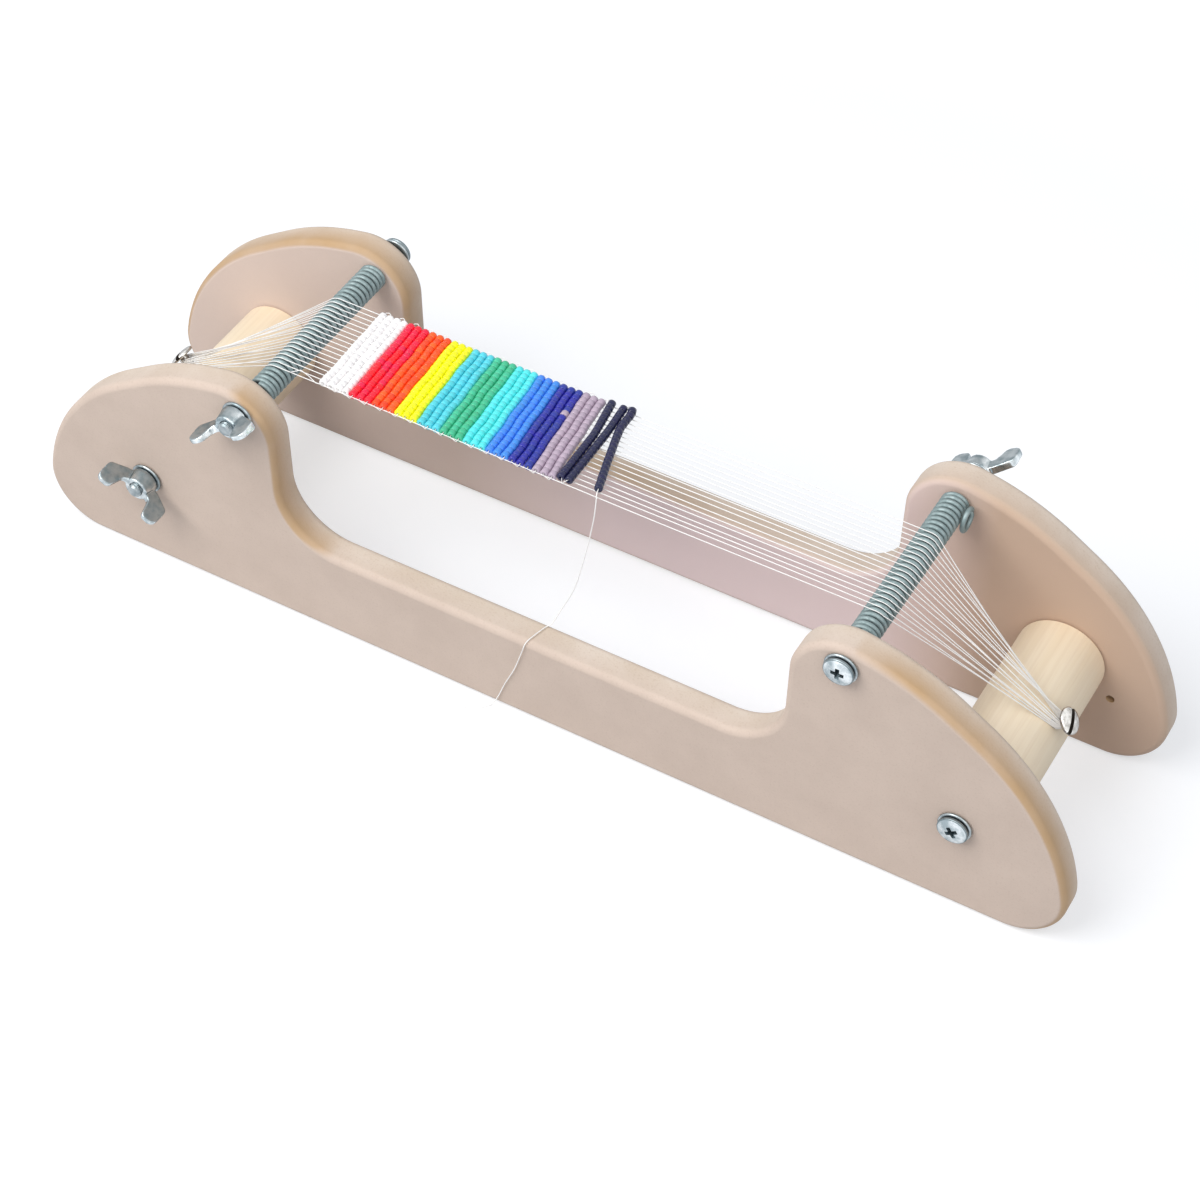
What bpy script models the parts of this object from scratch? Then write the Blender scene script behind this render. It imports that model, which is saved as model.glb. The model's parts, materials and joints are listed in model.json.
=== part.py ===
"""A wooden bead loom with a band of loomed beads on it, built from its separate pieces.

Metres, +Z up. X runs along the loom from its left roller to its right roller, and Y from the
front panel to the rear panel. The origin is on the table, under the middle of the loom.
"""

import math

import bmesh
import bpy
from mathutils import Matrix, Vector

MM = 0.001

# Gap between two pieces that touch on the real loom
SEAT = 0.3 * MM

# Side panels: their shape is given by its corners, as inset from the end, height and radius
LENGTH = 310 * MM
CLEAR_WIDTH = 55 * MM
PANEL_THICKNESS = 9 * MM
EDGE_ROUND = 2 * MM
RAIL_HEIGHT = 28.4 * MM
RAIL_CORNER_INSET = 81.5 * MM
RAIL_CORNER_RADIUS = 17 * MM
LOBE_CORNERS = (
    (80.8 * MM, 77.1 * MM, 14.7 * MM),
    (48.7 * MM, 70.7 * MM, 67.4 * MM),
    (8.7 * MM, 45.1 * MM, 62.4 * MM),
)
TOE_RADIUS = 15.4 * MM

# Holes: both pairs are drilled a little to the right of the panel's middle
HOLE_SHIFT = 2.3 * MM
SPRING_INSET = 69.3 * MM
SPRING_HEIGHT = 68 * MM
ROLLER_INSET = 35.9 * MM
ROLLER_HEIGHT = 29.7 * MM
BORE_CLEARANCE = 0.4 * MM
PILOT_HOLE_RADIUS = 1.15 * MM
PILOT_HOLE_DEPTH = 4 * MM
PILOT_HOLE_INSET = 19.2 * MM
PILOT_HOLE_HEIGHT = 20.8 * MM

# Bolts, washers and wing nuts
SHANK_RADIUS = 1.96 * MM
THREAD_PITCH = 0.7 * MM
HEAD_RADIUS = 4 * MM
HEAD_HEIGHT = 2.7 * MM
HEAD_SIDE = 0.9 * MM
RECESS_SPAN = 4.2 * MM
RECESS_WIDTH = 0.9 * MM
RECESS_DEPTH = 1.6 * MM
WASHER_RADIUS = 4.5 * MM
WASHER_THICKNESS = 0.8 * MM
NUT_BASE_RADIUS = 4 * MM
NUT_TOP_RADIUS = 3.4 * MM
NUT_COLLAR = 0.7 * MM
NUT_HEIGHT = 4.2 * MM
BOLT_END = 1.2 * MM
WING_REACH = 10 * MM
WING_HEIGHT = 9.5 * MM
WING_THICKNESS = 2 * MM
WING_EDGE = 0.36 * MM
WING_FOOT = 1.1 * MM
WING_TIP_HEIGHT = 3.6 * MM
WING_CREST_WIDTH = 4.2 * MM
WING_RADIUS = 1.4 * MM
WING_TOP_RADIUS = 2 * MM

# Rollers and the pegs that hold the warp
ROLLER_RADIUS = 11.85 * MM
ROLLER_CHAMFER = 0.6 * MM
PEG_ANGLE = math.radians(38.5)
PEG_PLACE = -1 * MM
PEG_RADIUS = 1.25 * MM
PEG_DEPTH = 7.4 * MM
PEG_TIP = 2 * MM
PEG_HEAD_RADIUS = 3.15 * MM
PEG_HEAD_HEIGHT = 2.3 * MM
PEG_HEAD_SIDE = 0.5 * MM
PEG_SLOT_WIDTH = 0.9 * MM
PEG_SLOT_DEPTH = 1.2 * MM
PEG_SLOT_TURN = math.radians(-62)

# Springs
SPRING_RADIUS = 3.8 * MM
SPRING_WIRE_RADIUS = 0.55 * MM
SPRING_CURLS = 31
SPRING_START = math.radians(180)
POINTS_PER_CURL = 8

# Warp
WARP_RADIUS = 0.14 * MM
WARP_RUNS = 19
FIRST_CURL_WITH_WARP = 3
LOWEST_LOOP = 0.65 * MM
LOOP_PITCH = 0.34 * MM
TAIL_TURN = math.radians(200)

# Beadwork: rows lie across the warp and are stacked along it
ROW_PITCH = 2.21 * MM
ROW_HEIGHT = 1.7 * MM
BAND_START = -70.1 * MM
ROWS_PER_STRIPE = 3
FIRST_STRIPE_ROWS = 4
ROW_BULGE = 1.04
DARK_ROW_WIDTH = 1.95 * MM
DARK_ROW_LENGTH = 30 * MM
DARK_ROW_MIDDLE = -4.4 * MM
FIRST_DARK_ROW_OFFSET = 1.9 * MM
FIRST_DARK_ROW_TURN = math.radians(2.9)
SECOND_DARK_ROW_OFFSET = 4.9 * MM
SECOND_DARK_ROW_TURN = math.radians(0.9)
STRAND_RADIUS = 0.9 * MM

# Working thread
THREAD_RADIUS = 0.15 * MM

# Fineness of round shapes
ARC_STEP = math.radians(11)
WING_ARC_STEP = math.radians(32)
DOME_STEPS = 4
LOOP_STEPS = 5
RIB_POINTS = 5
BOLT_SIDES = 16
ROLLER_SIDES = 40

WHITE = (0.92, 0.92, 0.9)
STRIPES = (
    ("white", (0.9, 0.9, 0.88)),
    ("red", (0.75, 0.02, 0.03)),
    ("orange", (0.9, 0.1, 0.02)),
    ("yellow", (0.95, 0.8, 0.02)),
    ("sky_blue", (0.1, 0.55, 0.8)),
    ("green", (0.03, 0.33, 0.17)),
    ("turquoise", (0.15, 0.7, 0.8)),
    ("blue", (0.06, 0.2, 0.7)),
    ("purple_blue", (0.03, 0.02, 0.28)),
    ("lilac", (0.45, 0.36, 0.5)),
)
DARK = (0.02, 0.02, 0.06)

# Places that several pieces share
HALF_LENGTH = LENGTH / 2
INNER_FACE = CLEAR_WIDTH / 2
OUTER_FACE = INNER_FACE + PANEL_THICKNESS
BORE_RADIUS = SHANK_RADIUS + BORE_CLEARANCE
SPRING_X = {side: HOLE_SHIFT + side * (HALF_LENGTH - SPRING_INSET) for side in (-1, 1)}
ROLLER_X = {side: HOLE_SHIFT + side * (HALF_LENGTH - ROLLER_INSET) for side in (-1, 1)}
SIDE_NAMES = {-1: "left", 1: "right"}
ACROSS = Vector((0, 1, 0))


for old in list(bpy.data.objects):
    bpy.data.objects.remove(old)


def finish(name, colour, roughness, metallic=0.0):
    """A material with one plain surface."""
    material = bpy.data.materials.new(name)
    material.use_nodes = True
    shader = material.node_tree.nodes["Principled BSDF"]
    shader.inputs["Base Color"].default_value = (*colour, 1)
    shader.inputs["Roughness"].default_value = roughness
    shader.inputs["Metallic"].default_value = metallic
    material.diffuse_color = (*colour, 1)
    return material


def place(name, data, material, location=(0, 0, 0), rotation=None):
    """Adds an object that shows this mesh or curve."""
    obj = bpy.data.objects.new(name, data)
    bpy.context.scene.collection.objects.link(obj)
    if not data.materials:
        data.materials.append(material)
    if rotation is not None:
        obj.rotation_mode = "QUATERNION"
        obj.rotation_quaternion = rotation.to_quaternion()
    obj.location = location
    return obj


def mesh_of(name, bm):
    """Turns a bmesh into a mesh with outward faces and smooth round sides."""
    bmesh.ops.recalc_face_normals(bm, faces=bm.faces[:])
    mesh = bpy.data.meshes.new(name)
    bm.to_mesh(mesh)
    bm.free()
    mesh.shade_smooth()
    mesh.set_sharp_from_angle(angle=math.radians(35))
    return mesh


def dome(radius, low, high):
    """Points of a domed top's (radius, height) profile, from its rim up to its middle."""
    angles = [math.radians(90 * i / DOME_STEPS) for i in range(DOME_STEPS)]
    return [(radius * math.cos(a), low + (high - low) * math.sin(a)) for a in angles] + [(0, high)]


def turned(name, profile, sides, ring=False):
    """A shape turned about Z from (radius, height) points; a ring's profile is a closed loop."""
    bm = bmesh.new()
    verts = [bm.verts.new((radius, 0, height)) for radius, height in profile]
    ends = verts[1:] + verts[:1] if ring else verts[1:]
    edges = [bm.edges.new(pair) for pair in zip(verts, ends)]
    bmesh.ops.spin(bm, geom=verts + edges, cent=(0, 0, 0), axis=(0, 0, 1), angle=math.tau,
                   steps=sides, use_merge=True)
    bmesh.ops.remove_doubles(bm, verts=bm.verts[:], dist=0.001 * MM)
    return mesh_of(name, bm)


def rounded_outline(corners, arc_step):
    """Points of a closed outline whose corners (x, z, radius) are rounded with arcs."""
    count = len(corners)
    points = [Vector(corner[:2]) for corner in corners]
    reach = []
    for i, (_, _, radius) in enumerate(corners):
        back = points[i - 1] - points[i]
        ahead = points[(i + 1) % count] - points[i]
        reach.append(radius / math.tan(back.angle(ahead) / 2))
    sides = [(points[(i + 1) % count] - points[i]).length for i in range(count)]
    limits = [min(1, sides[i] / max(reach[i] + reach[(i + 1) % count], MM)) for i in range(count)]
    outline = []
    for i, point in enumerate(points):
        back = (points[i - 1] - point).normalized()
        ahead = (points[(i + 1) % count] - point).normalized()
        half = back.angle(ahead) / 2
        tangent = reach[i] * min(limits[i - 1], limits[i])
        radius = tangent * math.tan(half)
        if radius < 0.01 * MM:
            outline.append(point)
            continue
        centre = point + (back + ahead).normalized() * radius / math.sin(half)
        start = point + back * tangent - centre
        turn = start.angle_signed(point + ahead * tangent - centre)
        steps = max(1, math.ceil(abs(turn) / arc_step))
        for step in range(steps + 1):
            outline.append(centre + Matrix.Rotation(-turn * step / steps, 2) @ start)
    return outline


def plate(name, outline, low, high, edge=0.0, segments=1):
    """A plate cut to an outline of (x, z) points, from y = low to y = high, with rounded rims."""
    bm = bmesh.new()
    face = bm.faces.new([bm.verts.new((x, low, z)) for x, z in outline])
    made = bmesh.ops.extrude_face_region(bm, geom=[face])["geom"]
    moved = [item for item in made if isinstance(item, bmesh.types.BMVert)]
    bmesh.ops.translate(bm, verts=moved, vec=(0, high - low, 0))
    if edge:
        rims = [e for e in bm.edges if abs(e.verts[0].co.y - e.verts[1].co.y) < 0.01 * MM]
        bmesh.ops.bevel(bm, geom=rims, offset=edge, offset_type="OFFSET", segments=segments,
                        profile=0.5, affect="EDGES", clamp_overlap=True, material=-1)
    return mesh_of(name, bm)


def change(operation, obj, name, mesh, rotation=None, location=(0, 0, 0)):
    """Cuts a mesh from an object, or joins it on, with a Boolean."""
    tool = place(name, mesh, steel, location, rotation)
    tool.hide_render = True
    tool.display_type = "WIRE"
    modifier = obj.modifiers.new(name, "BOOLEAN")
    modifier.operation = operation
    modifier.object = tool
    return tool


def settled(obj):
    """The object's mesh with its modifiers applied; the object and its tools are removed."""
    graph = bpy.context.evaluated_depsgraph_get()
    mesh = bpy.data.meshes.new_from_object(obj.evaluated_get(graph))
    for modifier in obj.modifiers:
        bpy.data.objects.remove(modifier.object)
    bpy.data.objects.remove(obj)
    mesh.shade_smooth()
    mesh.set_sharp_from_angle(angle=math.radians(35))
    return mesh


def box(name, size, centre):
    """A block, for cutting."""
    bm = bmesh.new()
    bmesh.ops.create_cube(bm, size=1, matrix=Matrix.Translation(centre) @ Matrix.Diagonal((*size, 1)))
    return mesh_of(name, bm)


def tube(name, points, radius, material, resolution):
    """One unbroken round tube through the points."""
    curve = bpy.data.curves.new(name, "CURVE")
    curve.dimensions = "3D"
    curve.bevel_depth = radius
    curve.bevel_resolution = resolution
    curve.use_fill_caps = True
    spline = curve.splines.new("POLY")
    spline.points.add(len(points) - 1)
    for target, point in zip(spline.points, points):
        target.co = (*point, 1)
    spline.use_smooth = True
    return place(name, curve, material)


def smooth_route(knots, count):
    """Evenly spread points of one smooth curve through the knots."""
    knots = [Vector(knot) for knot in knots]
    ends = [2 * knots[0] - knots[1], *knots, 2 * knots[-1] - knots[-2]]
    fine = []
    for before, start, stop, after in zip(ends, ends[1:], ends[2:], ends[3:]):
        for step in range(20):
            t = step / 20
            fine.append(0.5 * (2 * start + (stop - before) * t
                               + (2 * before - 5 * start + 4 * stop - after) * t ** 2
                               + (3 * start - before - 3 * stop + after) * t ** 3))
    fine.append(knots[-1])
    lengths = [0.0]
    for start, stop in zip(fine, fine[1:]):
        lengths.append(lengths[-1] + (stop - start).length)
    route = []
    at = 0
    for i in range(count):
        target = lengths[-1] * i / (count - 1)
        while at < len(fine) - 2 and lengths[at + 1] < target:
            at += 1
        share = (target - lengths[at]) / (lengths[at + 1] - lengths[at])
        route.append(fine[at].lerp(fine[at + 1], min(share, 1)))
    return route


wood_board = finish("board", (0.58, 0.45, 0.34), 0.7)
dowel_wood = finish("dowel", (0.8, 0.65, 0.46), 0.6)
steel = finish("zinc_plated_steel", (0.7, 0.73, 0.75), 0.3, 1)
spring_steel = finish("spring_steel", (0.4, 0.46, 0.5), 0.35, 1)
thread_white = finish("thread", WHITE, 0.6)


# Side panels
half_outline = [(HALF_LENGTH - inset, height, radius) for inset, height, radius in LOBE_CORNERS]
half_outline.insert(0, (HALF_LENGTH - RAIL_CORNER_INSET, RAIL_HEIGHT, RAIL_CORNER_RADIUS))
half_outline.append((HALF_LENGTH, 0, TOE_RADIUS))
mirrored = [(-x, z, radius) for x, z, radius in reversed(half_outline)]
panel_outline = rounded_outline(half_outline + mirrored, ARC_STEP)
hole_places = [(SPRING_X[side], SPRING_HEIGHT) for side in (-1, 1)]
hole_places += [(ROLLER_X[side], ROLLER_HEIGHT) for side in (-1, 1)]
along_y = Matrix.Rotation(math.radians(90), 3, "X")


def drill(radius, reach):
    """A cylinder for cutting, that reaches as far below its own frame's middle as above it."""
    return turned("drill", [(0, -reach), (radius, -reach), (radius, reach), (0, reach)], BOLT_SIDES)


def side_panel(name, inner, outer):
    """One side panel, between its inner and its outer face, with its four bolt holes."""
    low, high = sorted((inner, outer))
    panel = place(name, plate(name, panel_outline, low, high, EDGE_ROUND, 3), wood_board)
    for i, (x, z) in enumerate(hole_places):
        change("DIFFERENCE", panel, f"{name}_drill_{i}", drill(BORE_RADIUS, 2 * PANEL_THICKNESS), along_y,
               (x, inner, z))
    return panel


side_panel("front_side_panel", -INNER_FACE, -OUTER_FACE)
rear_panel = side_panel("rear_side_panel", INNER_FACE, OUTER_FACE)
change("DIFFERENCE", rear_panel, "pilot_drill", drill(PILOT_HOLE_RADIUS, PILOT_HOLE_DEPTH), along_y,
       (HALF_LENGTH - PILOT_HOLE_INSET, INNER_FACE, PILOT_HOLE_HEIGHT))


# Bolts: head up in their own frame, the underside of the head at height 0. The heads and the
# nuts sit at one distance from the loom's middle, on their washers.
fixing_seat = OUTER_FACE + SEAT + WASHER_THICKNESS + SEAT
bolt_length = 2 * fixing_seat + NUT_HEIGHT + BOLT_END
bolt_profile = [(0, -bolt_length), (SHANK_RADIUS - THREAD_PITCH / 2, -bolt_length),
                (SHANK_RADIUS, -bolt_length + THREAD_PITCH), (SHANK_RADIUS, 0), (HEAD_RADIUS, 0),
                *dome(HEAD_RADIUS, HEAD_SIDE, HEAD_HEIGHT)]
plain_bolt = place("plain_bolt", turned("bolt", bolt_profile, BOLT_SIDES), steel)
for i in range(2):
    bar_size = (RECESS_SPAN, RECESS_WIDTH, 2 * RECESS_DEPTH)
    change("DIFFERENCE", plain_bolt, f"recess_{i}", box("recess", bar_size, (0, 0, HEAD_HEIGHT)),
           Matrix.Rotation(math.radians(90 * i), 3, "Z"))
bolt_mesh = settled(plain_bolt)

# Washers lie on height 0 of their own frame
washer_profile = [(BORE_RADIUS, 0), (WASHER_RADIUS, 0), (WASHER_RADIUS, WASHER_THICKNESS),
                  (BORE_RADIUS, WASHER_THICKNESS)]
washer_mesh = turned("washer", washer_profile, BOLT_SIDES, ring=True)

# Wing nuts: a cone with two ears, its base on height 0
nut_profile = [(0, 0), (NUT_BASE_RADIUS, 0), (NUT_BASE_RADIUS, NUT_COLLAR), (NUT_TOP_RADIUS, NUT_HEIGHT),
               (0, NUT_HEIGHT)]
wing_root = SHANK_RADIUS + MM
wing_outline = rounded_outline([
    (wing_root, NUT_COLLAR, 0),
    (NUT_BASE_RADIUS + MM, WING_FOOT, WING_RADIUS),
    (WING_REACH, WING_TIP_HEIGHT, WING_RADIUS),
    (WING_REACH, WING_HEIGHT, WING_TOP_RADIUS),
    (WING_REACH - WING_CREST_WIDTH, WING_HEIGHT, WING_RADIUS),
    (NUT_TOP_RADIUS + MM, NUT_HEIGHT, WING_RADIUS),
    (wing_root, NUT_HEIGHT - WING_EDGE, 0),
], WING_ARC_STEP)
plain_nut = place("plain_nut", turned("wing_nut", nut_profile, BOLT_SIDES), steel)
for i in range(2):
    wing = plate("wing", wing_outline, -WING_THICKNESS / 2, WING_THICKNESS / 2, WING_EDGE)
    change("UNION", plain_nut, f"wing_{i}", wing, Matrix.Rotation(math.radians(180 * i), 3, "Z"))
change("DIFFERENCE", plain_nut, "nut_bore", drill(SHANK_RADIUS + SEAT, 2 * NUT_HEIGHT))
nut_mesh = settled(plain_nut)


def facing(side, turn=0.0):
    """Turns a piece made upright so that its top faces the rear (+1) or the front (-1)."""
    return Matrix.Rotation(math.radians(-90 * side), 3, "X") @ Matrix.Rotation(turn, 3, "Z")


def fasten(name, x, z, nut_side, wing_turn):
    """One bolt through both panels, with its washers and its wing nut."""
    head_side = -nut_side
    washer_seat = OUTER_FACE + SEAT
    place(f"{name}_bolt", bolt_mesh, steel, (x, head_side * fixing_seat, z), facing(head_side))
    place(f"{name}_head_washer", washer_mesh, steel, (x, head_side * washer_seat, z), facing(head_side))
    place(f"{name}_nut_washer", washer_mesh, steel, (x, nut_side * washer_seat, z), facing(nut_side))
    place(f"{name}_wing_nut", nut_mesh, steel, (x, nut_side * fixing_seat, z), facing(nut_side, wing_turn))


fasten("left_spring", SPRING_X[-1], SPRING_HEIGHT, -1, math.radians(29))
fasten("left_roller", ROLLER_X[-1], ROLLER_HEIGHT, -1, math.radians(148))
fasten("right_spring", SPRING_X[1], SPRING_HEIGHT, 1, math.radians(-15))
fasten("right_roller", ROLLER_X[1], ROLLER_HEIGHT, 1, math.radians(70))


# Rollers and pegs
half_roller = INNER_FACE - SEAT
roller_profile = [
    (BORE_RADIUS, -half_roller), (ROLLER_RADIUS - ROLLER_CHAMFER, -half_roller),
    (ROLLER_RADIUS, -half_roller + ROLLER_CHAMFER), (ROLLER_RADIUS, half_roller - ROLLER_CHAMFER),
    (ROLLER_RADIUS - ROLLER_CHAMFER, half_roller), (BORE_RADIUS, half_roller),
]
loop_heights = [LOWEST_LOOP + LOOP_PITCH * level for level in range(WARP_RUNS // 2 + 1)]
peg_neck = loop_heights[-1] + WARP_RADIUS + SEAT
peg_top = peg_neck + PEG_HEAD_HEIGHT
peg_profile = [(0, -PEG_DEPTH), (PEG_RADIUS, PEG_TIP - PEG_DEPTH), (PEG_RADIUS, peg_neck),
               (PEG_HEAD_RADIUS, peg_neck), *dome(PEG_HEAD_RADIUS, peg_neck + PEG_HEAD_SIDE, peg_top)]
plain_peg = place("plain_peg", turned("warp_peg", peg_profile, BOLT_SIDES), steel)
slot_size = (PEG_SLOT_WIDTH, 3 * PEG_HEAD_RADIUS, 2 * PEG_SLOT_DEPTH)
change("DIFFERENCE", plain_peg, "peg_slot", box("peg_slot", slot_size, (0, 0, peg_top)),
       Matrix.Rotation(PEG_SLOT_TURN, 3, "Z"))
peg_mesh = settled(plain_peg)


def peg_axes(side):
    """Unit vectors at a peg: out of the roller, and round it away from the spring."""
    out = Vector((side * math.cos(PEG_ANGLE), 0, math.sin(PEG_ANGLE)))
    onward = Vector((side * math.sin(PEG_ANGLE), 0, -math.cos(PEG_ANGLE)))
    return out, onward


def peg_seat(side, height=0.0):
    """The point on a peg's axis at this height over the roller's surface."""
    centre = Vector((ROLLER_X[side], PEG_PLACE, ROLLER_HEIGHT))
    return centre + peg_axes(side)[0] * (ROLLER_RADIUS + height)


for side, word in SIDE_NAMES.items():
    roller_mesh = turned(f"{word}_roller", roller_profile, ROLLER_SIDES, ring=True)
    roller = place(f"{word}_roller", roller_mesh, dowel_wood, (ROLLER_X[side], 0, ROLLER_HEIGHT), along_y)
    peg_turn = peg_axes(side)[0].to_track_quat("Z", "Y").to_matrix()
    change("DIFFERENCE", roller, f"{word}_peg_hole", drill(PEG_RADIUS + SEAT, PEG_DEPTH + SEAT), peg_turn,
           peg_seat(side))
    place(f"{word}_warp_peg", peg_mesh, steel, peg_seat(side), peg_turn)


# Springs: close-wound, right-handed, each end run straight into its seat on the panel
coil_radius = SPRING_RADIUS - SPRING_WIRE_RADIUS
coil_end = INNER_FACE - SEAT - 2 * SPRING_WIRE_RADIUS
spring_pitch = 2 * coil_end / SPRING_CURLS


def least_gap(points, radius):
    """Least gap between parts of a tube that aren't neighbours along it."""
    away = POINTS_PER_CURL // 2 + 1
    return min((a - b).length for i, a in enumerate(points) for b in points[i + away:]) - 2 * radius


for side, word in SIDE_NAMES.items():
    coil = []
    for i in range(SPRING_CURLS * POINTS_PER_CURL + 1):
        turn = i / POINTS_PER_CURL
        angle = SPRING_START - math.tau * turn
        coil.append(Vector((SPRING_X[side] + coil_radius * math.cos(angle), -coil_end + spring_pitch * turn,
                            SPRING_HEIGHT + coil_radius * math.sin(angle))))
    straight = ACROSS * 2 * SPRING_WIRE_RADIUS
    coil = [coil[0] - straight, *coil, coil[-1] + straight]
    tube(f"{word}_spring", coil, SPRING_WIRE_RADIUS, spring_steel, 1)
    print(f"{word} spring: least gap to itself {least_gap(coil, SPRING_WIRE_RADIUS) / MM:.2f} mm")


# Warp: one thread, wound back and forth between the pegs, in the valleys of both springs
valley_reach = SPRING_WIRE_RADIUS + WARP_RADIUS + SEAT
warp_lift = coil_radius + math.sqrt(max(valley_reach ** 2 - (spring_pitch / 2) ** 2, WARP_RADIUS ** 2))
warp_height = SPRING_HEIGHT + warp_lift
top_crossing = (SPRING_START / math.tau - 0.25) * spring_pitch - coil_end
run_places = [top_crossing + (FIRST_CURL_WITH_WARP + 0.5 + i) * spring_pitch for i in range(WARP_RUNS)]
loop_radius = PEG_RADIUS + SEAT + WARP_RADIUS
last_run = WARP_RUNS - 1


def over_spring(side, run, height):
    """A run's points from the top of a spring to where it leaves for a loop at this height."""
    away = peg_seat(side, height) - Vector((SPRING_X[side], PEG_PLACE, SPRING_HEIGHT))
    slope = math.atan2(away.z, side * away.x)
    leave = slope + math.acos(warp_lift / math.hypot(away.x, away.z))
    points = []
    for step in range(3):
        angle = math.radians(90) + (leave - math.radians(90)) * step / 2
        shift = side * spring_pitch * (math.radians(90) - angle) / math.tau
        points.append(Vector((SPRING_X[side] + side * warp_lift * math.cos(angle), run_places[run] + shift,
                              SPRING_HEIGHT + warp_lift * math.sin(angle))))
    return points


def touch_angle(side, start, height, way):
    """Where a run from this point meets the loop round a peg, on its front (-1) or rear (+1) side."""
    offset = start - peg_seat(side, height)
    ahead = -offset.dot(peg_axes(side)[1])
    sideways = -offset.y
    direction = math.atan2(sideways, ahead) + way * math.asin(loop_radius / math.hypot(ahead, sideways))
    return direction + way * math.radians(90)


def loop(side, height, first, last):
    """Points round a peg between two angles."""
    out = []
    for step in range(LOOP_STEPS + 1):
        angle = first + (last - first) * step / LOOP_STEPS
        ring = peg_axes(side)[1] * math.cos(angle) + ACROSS * math.sin(angle)
        out.append(peg_seat(side, height) + ring * loop_radius)
    return out


def hairpin(side, front_run, rear_run, level):
    """From the front run's top of spring, round the peg, to the rear run's top of spring."""
    height = loop_heights[level]
    going = over_spring(side, front_run, height)
    coming = over_spring(side, rear_run, height)
    first = touch_angle(side, going[-1], height, -1)
    last = touch_angle(side, coming[-1], height, 1)
    return going + loop(side, height, first, last) + coming[::-1]


def tied_end(side, run, level):
    """From a run's top of spring to its tied end round the peg."""
    height = loop_heights[level]
    going = over_spring(side, run, height)
    first = touch_angle(side, going[-1], height, -1)
    return going + loop(side, height, first, first + TAIL_TURN)


middle_run = last_run // 2
warp = tied_end(-1, 0, 0)[::-1]
for i in range(middle_run):
    warp += hairpin(1, i, last_run - i, i)
    warp += hairpin(-1, i + 1, last_run - i, i + 1)[::-1]
warp += tied_end(1, middle_run, middle_run)
tube("warp_thread", warp, WARP_RADIUS, thread_white, 1)


# Beadwork
band_front = run_places[0] - spring_pitch / 4
band_rear = run_places[-1] + spring_pitch / 4
row_centre = warp_height + WARP_RADIUS + SEAT + ROW_HEIGHT / 2


def bead_rows(name, rows, width, length, x, y, turn, material):
    """Rows of beads side by side along X, as one ribbed bar that lies across the loom."""
    ribs = []
    swell = ROW_BULGE * width / 2
    sweep = math.acos(1 / ROW_BULGE)
    for row in range(rows):
        middle = (row + 0.5 - rows / 2) * width
        for i in range(RIB_POINTS):
            angle = sweep + (math.pi - 2 * sweep) * i / (RIB_POINTS - 1)
            ribs.append((middle - swell * math.cos(angle), ROW_HEIGHT / 2 * math.sin(angle)))
    top = [rib for i, rib in enumerate(ribs) if i % RIB_POINTS or i == 0]
    outline = [(along, -z) for along, z in reversed(top)] + top
    bar = plate(name, outline, -length / 2, length / 2)
    place(name, bar, material, (x, y, row_centre), Matrix.Rotation(turn, 3, "Z"))


start = BAND_START
for i, (word, colour) in enumerate(STRIPES):
    rows = FIRST_STRIPE_ROWS if i == 0 else ROWS_PER_STRIPE
    width = (rows * ROW_PITCH - SEAT) / rows
    bead_rows(f"{word}_bead_rows", rows, width, band_rear - band_front, start + rows * ROW_PITCH / 2,
              (band_front + band_rear) / 2, 0, finish(f"{word}_beads", colour, 0.25))
    start += rows * ROW_PITCH

dark_beads = finish("dark_beads", DARK, 0.25)
bead_rows("first_dark_bead_row", 1, DARK_ROW_WIDTH, DARK_ROW_LENGTH, start + FIRST_DARK_ROW_OFFSET,
          DARK_ROW_MIDDLE, FIRST_DARK_ROW_TURN, dark_beads)
bead_rows("second_dark_bead_row", 1, DARK_ROW_WIDTH, DARK_ROW_LENGTH, start + SECOND_DARK_ROW_OFFSET,
          DARK_ROW_MIDDLE, SECOND_DARK_ROW_TURN, dark_beads)

strand_height = warp_height + WARP_RADIUS + SEAT + STRAND_RADIUS
strand_knots = [(5.5, 10), (5.6, 4.1), (6.4, 0.2), (8.1, -6.9), (10.4, -13.8), (11.7, -18.4)]
strand = smooth_route([(x * MM, y * MM, strand_height) for x, y in strand_knots], 14)
tube("loose_bead_strand", strand, STRAND_RADIUS, dark_beads, 1)


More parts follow.
